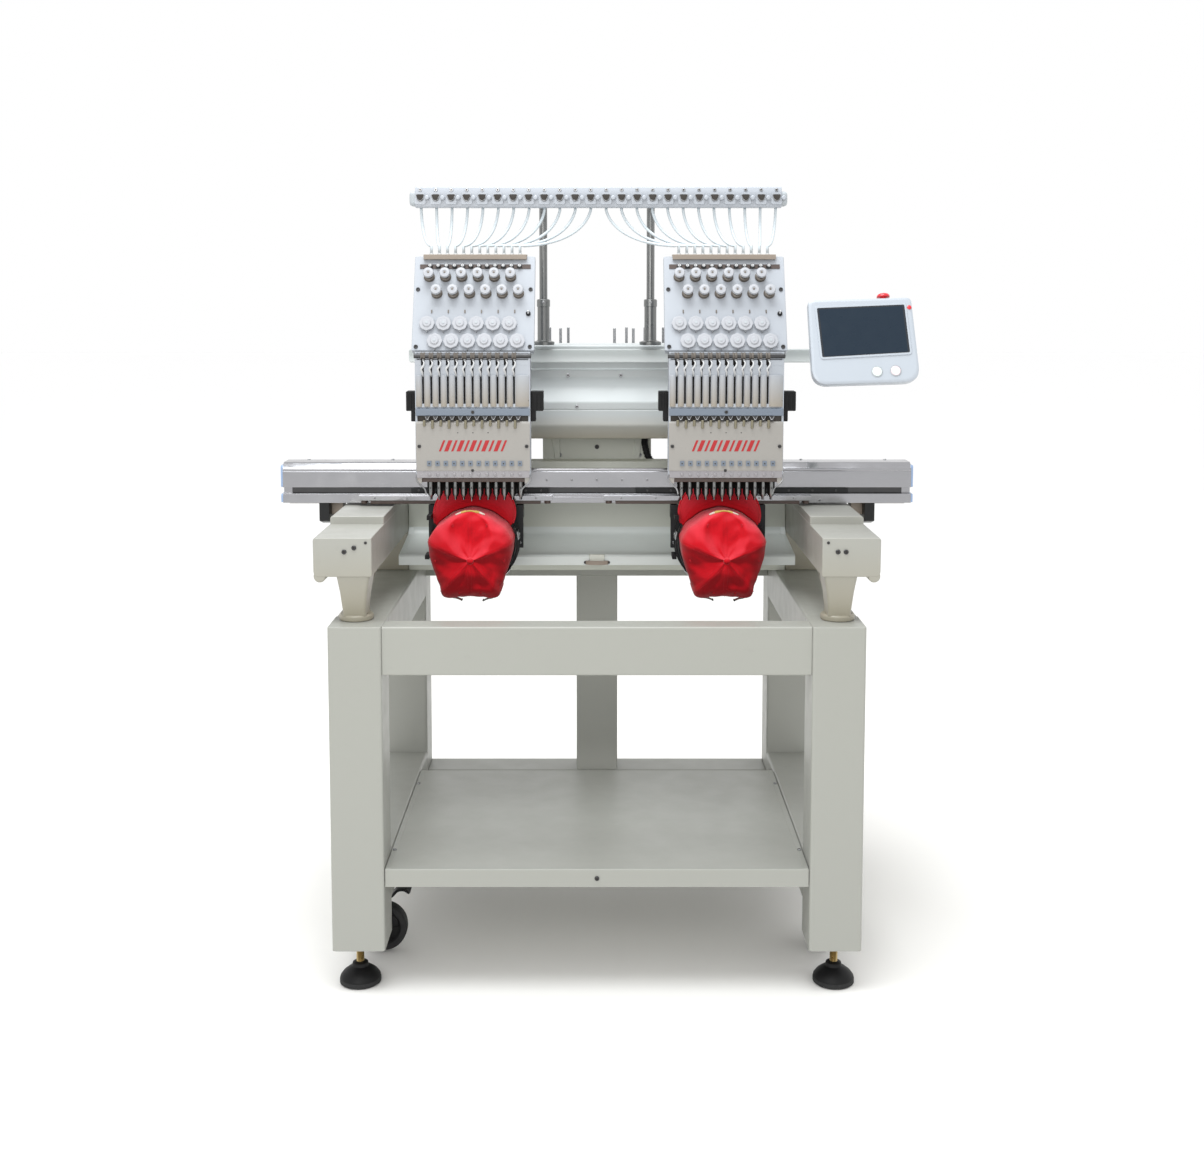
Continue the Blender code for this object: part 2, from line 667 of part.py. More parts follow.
def make_drive():
    upper = shaft_with_discs((-0.340, 0.340), UPPER_SHAFT, SHAFT_RADIUS,
                             [(0, 0.008, PULLEY_RADIUS)]
                             + [(x, 0.006, 0.024) for x in HEADS.values()])
    name_part(upper, "upper_shaft", STEEL, (0, *UPPER_SHAFT))
    spot = (LOWER_SHAFT_D, HOOK_Z)
    lower = shaft_with_discs((-0.290, MOTOR_X[0] - 4 * GAP), spot, SHAFT_RADIUS,
                             [(0, 0.008, PULLEY_RADIUS)]
                             + [(x + 0.026, 0.005, 0.015) for x in HEADS.values()])
    name_part(lower, "lower_shaft", STEEL, (0, *spot))
    motor = weld(rod((MOTOR_X[0] + 0.010, *spot), (MOTOR_X[1], *spot), MOTOR_RADIUS, 20),
                 block((MOTOR_X[0], MOTOR_X[0] + 0.012), around(spot[0], 0.0345), around(spot[1], 0.0345)))
    name_part(motor, "main_motor", BLACK)
    name_part(drive_belt(), "drive_belt", BLACK)


# ---------------------------------------------------------------- beds and hooks

def hook_arm(centre):
    """The narrow bed under a head: a channel that is open underneath."""
    low, high = BED_Z
    top = [(BED_HALF, high - BED_BEVEL), (BED_HALF - BED_BEVEL, high)]
    outline = [(BED_HALF, low)] + top + [(-x, z) for x, z in reversed(top)] + [(-BED_HALF, low)]
    bed = prism_d([(centre + x, z) for x, z in outline], BED_D)
    hollow = block(around(centre, BED_HALF - BED_WALL), (BED_D[0] + BED_WALL, BED_D[1] - 0.012),
                   (low - 0.01, high - BED_BEVEL - 0.001))
    bore = rod((centre, BED_D[1] - 0.03, HOOK_Z), (centre, BED_D[1] + 0.01, HOOK_Z), 0.0065, 12)
    needle_hole = rod((centre, NEEDLE_D, high - 0.03), (centre, NEEDLE_D, high + 0.01), 0.0035, 8)
    return cut(bed, hollow, bore, needle_hole)


def rotary_hook(centre):
    """The round hook, its shaft and the bevel gear at the shaft's rear end."""
    profile = [(0, 0.222), (HOOK_RADIUS - 0.004, 0.222), (HOOK_RADIUS, 0.228), (HOOK_RADIUS, 0.246),
               (0.012, 0.252), (0.0045, 0.254), (0.0045, 0.5835), (0.014, 0.5850), (0.009, 0.5940),
               (0, 0.5940)]
    return turned(profile, (centre, 0, HOOK_Z), (0, 1, 0), 16)


def make_beds():
    for word, centre in HEADS.items():
        name_part(hook_arm(centre), f"hook_arm_{word}", CREAM)
        name_part(rotary_hook(centre), f"rotary_hook_{word}", STEEL, (centre, 0.235, HOOK_Z))


# ---------------------------------------------------------------- heads

def head(centre):
    """The fixed head casting behind the needle case."""
    front, rear = HEAD_D
    low, high = HEAD_Z
    outline = [(front, low + 0.020), (front + 0.020, low), (rear - 0.030, low), (rear, low + 0.030),
               (rear, high), (front + 0.006, high), (front, high - 0.006)]
    return prism_x(outline, around(centre, HEAD_HALF))


def needle_case(centre):
    """The sliding case: a window for the take-up levers and a well for the needle bars."""
    body = block(around(centre, CASE_HALF), CASE_D, CASE_Z, 0.002)
    blocks = block(around(centre, SIDE_BLOCK_X), (0.236, 0.2575), SIDE_BLOCK_Z)
    window = block(around(centre, 0.101), (CASE_D[0] - 0.01, 0.242), LEVER_WINDOW_Z)
    well = block(around(centre, 0.107), (CASE_D[0] + 0.006, 0.250), (CASE_Z[0] - 0.01, 1.078))
    return cut(weld(body, blocks), window, well)


def tension_panel(centre):
    """The sloping plate above the case, with two rows of tension knobs and two of wheels."""
    low_d, low_z = TENSION_LOW
    high_d, high_z = TENSION_HIGH
    plate = prism_x([(low_d, low_z), (low_d + TENSION_THICK, low_z), (high_d + TENSION_THICK, high_z),
                     (high_d, high_z)], around(centre, TENSION_HALF))
    rise = Vector((high_d - low_d, high_z - low_z)).normalized()
    outward = Vector((-rise.y, rise.x))
    studs = []
    for row, (share, offset, radius, reach) in enumerate((
            (0.90, -0.25, 0.0105, 0.020), (0.72, 0.25, 0.0105, 0.020),
            (0.38, -0.25, 0.0145, 0.010), (0.20, 0.25, 0.0145, 0.010))):
        d = low_d + (high_d - low_d) * share
        z = low_z + (high_z - low_z) * share
        for k in range(NEEDLES // 2):
            x = centre + (k - 2.5) * 2 * NEEDLE_PITCH + offset * 2 * NEEDLE_PITCH
            start = (x, d - 0.004 * outward.x, z - 0.004 * outward.y)
            end = (x, d + reach * outward.x, z + reach * outward.y)
            studs.append(rod(start, end, radius, 8))
    return weld(plate, *studs)


def needle_bank(centre):
    """Two guide plates with the eleven needle bars that aren't sewing."""
    plates = [block(around(centre, GUIDE_HALF), GUIDE_D, z) for z in GUIDE_Z]
    bars = []
    for k in range(NEEDLES):
        if k == ACTIVE_NEEDLE:
            continue
        x = centre + (k - (NEEDLES - 1) / 2) * NEEDLE_PITCH
        bars.append(rod((x, NEEDLE_D, 0.912), (x, NEEDLE_D, GUIDE_Z[1][1] - 0.002), 0.0025, 6))
    active_x = centre + (ACTIVE_NEEDLE - (NEEDLES - 1) / 2) * NEEDLE_PITCH
    bores = [rod((active_x, NEEDLE_D, z[0] - 0.01), (active_x, NEEDLE_D, z[1] + 0.002), 0.0046, 8)
             for z in GUIDE_Z]
    return cut(weld(*plates, *bars), *bores)


def needle_bar(centre):
    """The sewing needle bar with its clamp and needle."""
    profile = [(0, NEEDLE_TIP_Z), (0.0008, NEEDLE_TIP_Z + 0.004), (0.0008, 0.932), (0.0040, 0.932),
               (0.0040, 0.946), (0.0026, 0.947), (0.0026, 1.072), (0, 1.072)]
    return turned(profile, (centre, NEEDLE_D, 0), (0, 0, 1), 8)


def take_up_lever(centre):
    """The lever that pulls the thread; it turns on a pin across the case."""
    d, z = LEVER_PIVOT
    outline = [(d - 0.006, z + 0.006), (d + 0.006, z + 0.006), (d + 0.007, z - 0.006),
               (d - 0.006, z - 0.014), (d - 0.023, z - 0.010), (d - 0.031, z + 0.004),
               (d - 0.027, z + 0.006), (d - 0.020, z - 0.004)]
    return prism_x(outline, around(centre, 0.0013))


def make_heads():
    for word, centre in HEADS.items():
        middle = centre + CASE_SHIFT
        name_part(head(centre), f"head_{word}", WHITE)
        case = name_part(needle_case(middle), f"needle_case_{word}", WHITE, (middle, CASE_D[1], CASE_Z[0]))
        name_part(tension_panel(middle), f"tension_panel_{word}", WHITE, parent=case)
        name_part(comb_and_tubes(word), f"thread_tubes_{word}", NYLON, parent=case)
        name_part(needle_bank(centre + NEEDLE_SHIFT), f"needle_bank_{word}", STEEL, parent=case)
        name_part(needle_bar(centre), f"needle_bar_{word}", STEEL, (centre, NEEDLE_D, NEEDLE_TIP_Z), case)
        name_part(take_up_lever(centre), f"take_up_lever_{word}", STEEL, (centre, *LEVER_PIVOT), case)


# ---------------------------------------------------------------- pantograph and caps

def x_beam():
    """The cross beam, its end brackets and the two cap-driver holders."""
    front, rear = XBEAM_D
    low, high = XBEAM_Z
    outline = [(front, low), (rear, low), (rear, high - 0.004), (rear - 0.010, high),
               (front + 0.012, high), (front, high - 0.014), (front, 0.917), (front + 0.006, 0.917),
               (front + 0.006, 0.9045), (front, 0.9045)]
    pieces = [prism_x(outline, (-XBEAM_HALF, XBEAM_HALF))]
    for side in (-1, 1):
        x = sorted((side * 0.556, side * 0.577))
        pieces.append(block(x, (front + 0.004, rear - 0.006), (0.838, low + 0.006)))
    bores = []
    for centre in HEADS.values():
        pieces.append(block(around(centre, HOLDER_HALF), (SLEEVE_D[1] + GAP, 0.346), (0.795, 0.884)))
        for side in (-1, 1):
            strut = centre + side * 0.090
            pieces.append(block(around(strut, 0.007), (0.342, 0.400), (0.850, 0.883)))
            pieces.append(block(around(strut, 0.006), (front + 0.004, 0.398), (0.860, low + 0.004)))
        bores.append(rod((centre, 0.320, CAP_Z), (centre, 0.3475, CAP_Z), 0.0790, 24))
    return cut(weld(*pieces), *bores)


def x_carriage():
    """The bar that moves left and right along the front of the cross beam."""
    bars = [block(x, CARRIAGE_D, CARRIAGE_Z) for x in CARRIAGE_BARS]
    link = block((CARRIAGE_BARS[0][1] - 0.02, CARRIAGE_BARS[1][0] + 0.02),
                 (CARRIAGE_D[0] + 0.008, CARRIAGE_D[1] - 0.001), (0.890, 0.899))
    return weld(*bars, link)


def cap_driver(centre):
    """A sleeve around the bed with a flange that is open where the bill stands up."""
    inner, outer = SLEEVE_RADII
    sleeve = turned([(inner, SLEEVE_D[0]), (outer, SLEEVE_D[0]), (outer, SLEEVE_D[1]), (inner, SLEEVE_D[1])],
                    (centre, 0, CAP_Z), (0, 1, 0), 32)
    flange = turned([(outer - 0.002, FLANGE_D[0]), (FLANGE_RADIUS, FLANGE_D[0]), (FLANGE_RADIUS, FLANGE_D[1]),
                     (outer - 0.002, FLANGE_D[1])], (centre, 0, CAP_Z), (0, 1, 0), 32)
    reach = 0.20
    edge = BILL_SWEEP + radians(6)
    wedge = prism_d([(centre, CAP_Z + 0.010), (centre + reach * sin(edge), CAP_Z + reach * cos(edge)),
                     (centre - reach * sin(edge), CAP_Z + reach * cos(edge))],
                    (FLANGE_D[0] - 0.004, FLANGE_D[1] + 0.004))
    return weld(cut(flange, wedge), sleeve)


def crown_radius(angle):
    """The crown's radius at an angle from the top; its lower part hangs out in two corners."""
    sag = max(0.0, 1 - abs(abs(angle) - CROWN_CORNER) / CROWN_CORNER_WIDTH)
    hang = CROWN_SAG if abs(angle) > CROWN_CORNER else 0.0
    return CAP_RADIUS + max(CROWN_BULGE * sag, hang)


def cap(centre):
    """A cap crown that is open towards the machine, with its bill turned up."""
    front, rear = CAP_D
    sides = 24
    nose = 0.050
    steps = 5
    turns = [pi / 2 * k / steps for k in range(1, steps + 1)]
    rows = [(sin(turn), front + nose * (1 - cos(turn))) for turn in turns]
    rows.append((1.0, rear - GAP))
    bm = bmesh.new()
    shells = []
    for wall in (0.0, CAP_WALL):
        tip = bm.verts.new((centre, world_y(front + wall), CAP_Z))
        rings = []
        for share, depth in rows:
            depth = depth if depth > rear - CAP_WALL else depth + wall * (1 - share)
            ring = []
            for k in range(sides):
                angle = 2 * pi * k / sides - pi
                radius = crown_radius(angle) * share - wall * max(share, 0.3)
                ring.append(bm.verts.new((centre + radius * sin(angle), world_y(depth),
                                          CAP_Z + radius * cos(angle))))
            rings.append(ring)
        shells.append((tip, rings))
    for tip, rings in shells:
        for k in range(sides):
            following = (k + 1) % sides
            bm.faces.new((tip, rings[0][k], rings[0][following]))
            for near, far in zip(rings, rings[1:]):
                bm.faces.new((near[k], far[k], far[following], near[following]))
    outer_rim, inner_rim = shells[0][1][-1], shells[1][1][-1]
    for k in range(sides):
        following = (k + 1) % sides
        bm.faces.new((outer_rim[k], inner_rim[k], inner_rim[following], outer_rim[following]))
    return weld(shape(bm), bill(centre))


def bill(centre):
    """The stiff bill, a curved plate that stands up behind the needles."""
    root = CAP_D[1] - 0.006
    full = BILL_TOP_RADIUS - CAP_RADIUS
    sections = []
    steps = 8
    for k in range(steps + 1):
        share = 2 * k / steps - 1
        angle = share * BILL_SWEEP
        tall = full * (1 - abs(share) ** 2.4) + 0.004
        low_r = CAP_RADIUS - 0.0018
        high_r = CAP_RADIUS + tall
        far = root + (BILL_D - root) * (tall / (full + 0.004))
        outline = [(low_r, root), (high_r, far - 0.003), (high_r, far), (low_r, root + 0.0035)]
        sections.append([(centre + r * sin(angle), world_y(d), CAP_Z + r * cos(angle)) for r, d in outline])
    return loft(sections)


def make_pantograph():
    beam = name_part(x_beam(), "x_beam", ALUMINIUM, (0, XBEAM_D[0], XBEAM_Z[0]))
    name_part(x_carriage(), "x_carriage", ALUMINIUM, (0, CARRIAGE_D[1], CARRIAGE_Z[0]), beam)
    for word, centre in HEADS.items():
        axis = (centre, SLEEVE_D[0], CAP_Z)
        driver = name_part(cap_driver(centre), f"cap_driver_{word}", BLACK, axis, beam)
        name_part(cap(centre), f"cap_{word}", RED, axis, driver)


# ---------------------------------------------------------------- control panel

def panel_arm():
    """The long bar on the beam, its forward arm and the pin that the panel tilts on."""
    bar = rod((BAR_LEFT_X, BAR_D, BAR_Z), (SWING_X + 0.012, BAR_D, BAR_Z), 0.015, 16)
    forward = rod((SWING_X, BAR_D, BAR_Z), (SWING_X, PANEL_PIN[0] + 0.002, PANEL_PIN[1]), 0.011, 12)
    pin = rod((SWING_X - 0.008, *PANEL_PIN), (0.552, *PANEL_PIN), PIN_RADIUS, 12)
    knuckle = rod((SWING_X - 0.012, *PANEL_PIN), (SWING_X + 0.012, *PANEL_PIN), 0.0125, 12)
    return weld(bar, forward, knuckle, pin)


def panel_space():
    """An empty at the panel's centre, turned the way the panel faces."""
    space = bpy.data.objects.new("control_panel_pivot", None)
    bpy.context.scene.collection.objects.link(space)
    x, d, z = PANEL_CENTRE
    place = Vector((x, world_y(d), z))
    space.matrix_world = Matrix.Translation(place) @ Euler(PANEL_TURN, "XYZ").to_matrix().to_4x4()
    return space


def to_panel(obj, space):
    """Move a shape that was built around the origin into the panel's space."""
    shift = Matrix.Translation((0, -world_y(0), 0))
    obj.data.transform(shift)
    obj.data.transform(space.matrix_world)
    return obj


def panel_housing(space):
    width, thick, height = PANEL_SIZE
    corner = 0.010
    foot = 0.020
    outline = [(-width / 2, height / 2 - corner), (-width / 2 + corner, height / 2),
               (width / 2 - corner, height / 2), (width / 2, height / 2 - corner),
               (width / 2, -height / 2 + foot), (width / 2 - foot * 0.3, -height / 2 + foot * 0.3),
               (width / 2 - foot, -height / 2), (-width / 2 + foot, -height / 2),
               (-width / 2 + foot * 0.3, -height / 2 + foot * 0.3), (-width / 2, -height / 2 + foot)]
    shell = prism_d(outline, around(0, thick / 2))
    wells = []
    for u, w in BUTTON_PLACES.values():
        wells.append(rod((u, -thick / 2 - 0.01, w), (u, -thick / 2 + 0.008, w), BUTTON_RADIUS + 0.0005, 16))
    wells.append(rod((ESTOP_U, 0, height / 2 - 0.014), (ESTOP_U, 0, height / 2 + 0.01), 0.0065, 12))
    shell = to_panel(cut(shell, *wells), space)
    lug = block((0.502, 0.542), (0.100, PANEL_PIN[0] + 0.013), around(PANEL_PIN[1], 0.013))
    bore = rod((0.49, *PANEL_PIN), (0.56, *PANEL_PIN), PIN_RADIUS + GAP, 12)
    return cut(weld(shell, lug), bore)


def make_control_panel():
    name_part(panel_arm(), "panel_arm", WHITE)
    space = panel_space()
    pin = (PANEL_CENTRE[0], *PANEL_PIN)
    thick = PANEL_SIZE[1]
    height = PANEL_SIZE[2]
    housing = name_part(panel_housing(space), "panel_housing", WHITE, pin)
    for name, (u, w) in BUTTON_PLACES.items():
        button = rod((u, -thick / 2 - 0.002, w), (u, -thick / 2 + 0.005, w), BUTTON_RADIUS, 16)
        name_part(to_panel(button, space), name, NYLON, None, housing)
    profile = [(0, -0.010), (0.006, -0.010), (0.006, 0.004), (0.0125, 0.004), (0.0125, 0.008),
               (0.009, 0.011), (0, 0.012)]
    stop = turned(profile, (ESTOP_U, 0, height / 2), (0, 0, 1), 16)
    name_part(to_panel(stop, space), "estop_button", RED, None, housing)
    bpy.data.objects.remove(space)


clear_scene()
make_stand()
make_feet_and_casters()
make_machine_frame()
make_thread_stand()
make_drive()
make_beds()
make_heads()
make_pantograph()
make_control_panel()
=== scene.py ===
"""Looks of the two-head embroidery machine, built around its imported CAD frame.

Metres, +Z up, +X to the operator's right. A depth is measured backwards from
the front faces of the stand's legs.
"""

import math
import random
from math import cos, pi, radians, sin

import bmesh
import bpy
from mathutils import Euler, Matrix, Vector


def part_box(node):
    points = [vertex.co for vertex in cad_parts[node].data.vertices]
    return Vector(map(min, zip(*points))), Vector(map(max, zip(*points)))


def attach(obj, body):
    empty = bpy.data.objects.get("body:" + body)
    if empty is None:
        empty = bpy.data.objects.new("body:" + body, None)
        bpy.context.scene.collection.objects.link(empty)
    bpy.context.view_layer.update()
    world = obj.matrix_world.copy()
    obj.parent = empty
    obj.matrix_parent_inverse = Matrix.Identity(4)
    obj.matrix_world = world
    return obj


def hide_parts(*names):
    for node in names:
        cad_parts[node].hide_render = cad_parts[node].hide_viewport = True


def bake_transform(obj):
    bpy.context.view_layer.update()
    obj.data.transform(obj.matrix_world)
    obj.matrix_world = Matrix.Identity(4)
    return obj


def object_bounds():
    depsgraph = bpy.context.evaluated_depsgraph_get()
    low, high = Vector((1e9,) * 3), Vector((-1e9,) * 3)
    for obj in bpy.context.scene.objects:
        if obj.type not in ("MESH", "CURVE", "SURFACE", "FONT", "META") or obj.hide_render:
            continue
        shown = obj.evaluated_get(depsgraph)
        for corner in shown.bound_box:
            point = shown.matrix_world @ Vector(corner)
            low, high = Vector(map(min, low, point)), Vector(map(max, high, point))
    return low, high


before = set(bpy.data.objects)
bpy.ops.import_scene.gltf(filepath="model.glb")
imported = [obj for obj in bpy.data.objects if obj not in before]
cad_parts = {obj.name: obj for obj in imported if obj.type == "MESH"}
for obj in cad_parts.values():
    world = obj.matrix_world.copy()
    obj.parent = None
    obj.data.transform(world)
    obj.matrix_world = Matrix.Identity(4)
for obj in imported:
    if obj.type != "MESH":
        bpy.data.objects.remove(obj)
CAD_LOW, CAD_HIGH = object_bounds()

random.seed(12)

# ---------------------------------------------------------------- driving sizes

FRONT_Y = CAD_LOW.y
SIDES = (("left", -1), ("right", 1))
HEADS = (("left", -0.25), ("right", 0.25))
NEEDLES = 12
PITCH = 0.0163
ACTIVE = 5
CASE_SHIFT = 0.005
SLOT_SHIFT = -0.003
NEEDLE_SHIFT = 0.00815
LEG_INNER, LEG_OUTER = 0.4, 0.5
STAND_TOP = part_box("side_frame_left")[1].z
STAND_DEPTH = CAD_HIGH.y - CAD_LOW.y
RAIL_LEFT, RAIL_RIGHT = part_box("thread_rail")[0].x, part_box("thread_rail")[1].x
RAIL_LOW, RAIL_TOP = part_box("thread_rail")[0].z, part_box("thread_rail")[1].z
THREAD_PITCH = 0.0315
BEAM_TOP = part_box("upper_beam")[1].z
CAP_Z = 0.812
XBEAM_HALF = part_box("x_beam")[1].x
RIGHT, BACK, UP, FRONT = (1, 0, 0), (0, 1, 0), (0, 0, 1), (0, -1, 0)


def at(x, d, z):
    """The place at x, a depth behind the front of the legs, and a height."""
    return Vector((x, FRONT_Y + d, z))


# ---------------------------------------------------------------- materials

def srgb(*channels):
    """Linear colour of an 8-bit display colour."""
    out = []
    for channel in channels:
        c = channel / 255
        out.append(c / 12.92 if c <= 0.04045 else ((c + 0.055) / 1.055) ** 2.4)
    return tuple(out)


def scaled(colour, factor):
    return (*(min(1.0, max(0.0, c * factor)) for c in colour), 1.0)


class Paint:
    """A procedural Principled material: mottled colour, uneven gloss and a fine bump."""

    def __init__(self, name, colour, rough, metal=0.0, mottle=0.05, patch=7.0, **fixed):
        self.material = bpy.data.materials.new(name)
        self.material.use_nodes = True
        self.tree = self.material.node_tree
        self.shader = self.tree.nodes["Principled BSDF"]
        self.shader.inputs["Metallic"].default_value = metal
        for socket, value in fixed.items():
            self.shader.inputs[socket.replace("_", " ")].default_value = value
        self.coords = self.node("TexCoord", "Object")
        self.patches = self.noise(patch, 4.0, 0.6)
        self.colour = self.mix(self.patches, scaled(colour, 1 - mottle), scaled(colour, 1 + mottle))
        gloss = self.noise(patch * 5, 3.0, 0.55)
        self.rough = self.span(gloss, 0.3, 0.7, max(0.02, rough - 0.07), min(1.0, rough + 0.07))
        self.normal = None

    def plug(self, value, socket):
        """Link a value that is a socket, or set it as a constant."""
        if isinstance(value, bpy.types.NodeSocket):
            self.tree.links.new(value, socket)
        else:
            socket.default_value = value

    def node(self, kind, output, settings=None, **sockets):
        """Add a node, set or link its sockets and give back one of its outputs."""
        node = self.tree.nodes.new("ShaderNode" + kind)
        for name, value in (settings or {}).items():
            setattr(node, name, value)
        for name, value in sockets.items():
            self.plug(value, node.inputs[name.replace("_", " ")])
        return node.outputs[output]

    def stretched(self, scale):
        return self.node("Mapping", "Vector", Scale=scale, Vector=self.coords) if scale else self.coords

    def noise(self, scale, detail=2.0, roughness=0.5, stretch=None):
        return self.node("TexNoise", "Fac", Scale=scale, Detail=detail, Roughness=roughness,
            Vector=self.stretched(stretch))

    def wave(self, scale, direction, distortion):
        return self.node("TexWave", "Fac", {"wave_type": "BANDS", "bands_direction": direction}, Scale=scale,
            Distortion=distortion, Vector=self.coords)

    def span(self, value, low, high, to_low=0.0, to_high=1.0):
        return self.node("MapRange", "Result", Value=value, From_Min=low, From_Max=high, To_Min=to_low,
            To_Max=to_high)

    def product(self, first, second):
        node = self.tree.nodes.new("ShaderNodeMath")
        node.operation = "MULTIPLY"
        self.plug(first, node.inputs[0])
        self.plug(second, node.inputs[1])
        return node.outputs["Value"]

    def mix(self, factor, first, second):
        return self.node("Mix", "Result", {"data_type": "RGBA"}, Factor=factor, A=first, B=second)

    def shade(self, factor, colour, strength=1.0):
        """Lay another colour over the paint where the factor is high."""
        if strength != 1.0:
            factor = self.product(factor, strength)
        self.colour = self.mix(factor, self.colour, scaled(colour, 1.0))
        return self

    def worn(self, colour):
        """Rub the convex edges of the piece towards another colour."""
        edge = self.node("NewGeometry", "Pointiness")
        rubbed = self.product(self.span(edge, 0.56, 0.62), self.span(self.noise(60.0), 0.35, 0.6))
        return self.shade(rubbed, colour, 0.5)

    def bump(self, height, strength, distance):
        below = {} if self.normal is None else {"Normal": self.normal}
        self.normal = self.node("Bump", "Normal", Strength=strength, Distance=distance, Height=height,
            **below)
        return self

    def done(self):
        for value, name in ((self.colour, "Base Color"), (self.rough, "Roughness"), (self.normal, "Normal")):
            if value is not None:
                self.plug(value, self.shader.inputs[name])
        return self.material


def powder_coat(name, colour, rough=0.42, foot=None):
    """Sprayed paint with a fine orange peel, a little dust and rubbed edges."""
    paint = Paint(name, colour, rough, mottle=0.022, patch=4.0, Coat_Weight=0.12, Coat_Roughness=0.25)
    paint.shade(paint.span(paint.noise(46.0, 5.0, 0.7), 0.6, 0.78), scaled(colour, 0.86)[:3], 0.35)
    # Painted shading by height: below the upper height the colour blends to the given tone. This is painted
    # shade on the lower faces of most parts, and a painted highlight on the underside of the panel bar.
    if foot:
        low, high, shaded = foot
        height = paint.node("SeparateXYZ", "Z", Vector=paint.coords)
        paint.shade(paint.span(height, high, low), shaded)
    paint.worn(scaled(colour, 1.12)[:3])
    paint.bump(paint.noise(900.0, 2.0), 0.1, 0.0002)
    return paint.bump(paint.noise(140.0, 2.0), 0.07, 0.0003).done()


def moulded(name, colour, rough=0.38, coat=0.15, **fixed):
    """Moulded plastic with a fine spark-eroded texture."""
    paint = Paint(name, colour, rough, mottle=0.03, patch=9.0, Coat_Weight=coat, Coat_Roughness=0.2, **fixed)
    return paint.bump(paint.noise(1600.0, 2.0), 0.12, 0.00015).done()


def brushed(name, colour, rough=0.32, metal=0.9, along="X", depth=0.12):
    """Metal with fine lines along one axis."""
    stretch = {"X": (0.02, 1.0, 1.0), "Y": (1.0, 0.02, 1.0), "Z": (1.0, 1.0, 0.02)}[along]
    paint = Paint(name, colour, rough, metal, mottle=0.04, patch=5.0)
    lines = paint.noise(1400.0, 3.0, 0.6, stretch)
    paint.shade(paint.span(lines, 0.35, 0.75), scaled(colour, 0.82)[:3], 0.5)
    return paint.bump(lines, depth, 0.0002).done()


def machined(name, colour, rough=0.25, metal=1.0):
    """Turned or plated steel with faint smears."""
    paint = Paint(name, colour, rough, metal, mottle=0.05, patch=20.0)
    paint.shade(paint.span(paint.noise(30.0, 5.0, 0.7), 0.55, 0.8), scaled(colour, 0.7)[:3], 0.4)
    return paint.bump(paint.noise(500.0, 2.0), 0.06, 0.0002).done()


def twill(name, colour, dark, lit):
    """Cotton twill: diagonal ribs of twisted yarn, a painted highlight where the cloth faces up, painted
    shade where it faces down, and a little fuzz.
    """
    paint = Paint(name, colour, 0.85, mottle=0.07, patch=18.0, Sheen_Weight=0.12, Sheen_Roughness=0.4,
        Specular_IOR_Level=0.15)
    # Painted light: cloth whose object normal faces up blends to the lit colour as a painted highlight, and
    # cloth that faces down blends to the dark colour as painted shade.
    slope = paint.node("SeparateXYZ", "Z", Vector=paint.node("TexCoord", "Normal"))
    paint.shade(paint.span(slope, 0.28, 0.8), lit, 0.62)
    paint.shade(paint.span(slope, 0.1, -0.3), dark, 0.8)
    ribs = paint.wave(420.0, "DIAGONAL", 1.2)
    yarn = paint.wave(700.0, "X", 2.0)
    weave = paint.product(ribs, paint.span(yarn, 0.0, 1.0, 0.6, 1.0))
    paint.shade(paint.span(weave, 0.45, 0.0), dark, 0.55)
    paint.shade(paint.span(paint.noise(9.0, 3.0), 0.5, 0.75), dark, 0.25)
    paint.bump(weave, 0.35, 0.0004)
    return paint.bump(paint.noise(260.0, 4.0), 0.15, 0.0004).done()


def rubber(name, colour, rough=0.7):
    paint = Paint(name, colour, rough, mottle=0.12, patch=30.0)
    paint.shade(paint.span(paint.noise(80.0, 5.0, 0.7), 0.58, 0.8), srgb(96, 92, 86), 0.18)
    return paint.bump(paint.noise(700.0, 3.0), 0.2, 0.0003).done()


CREAM = srgb(155, 156, 149)
WHITE = srgb(165, 170, 177)
RED = srgb(205, 30, 42)

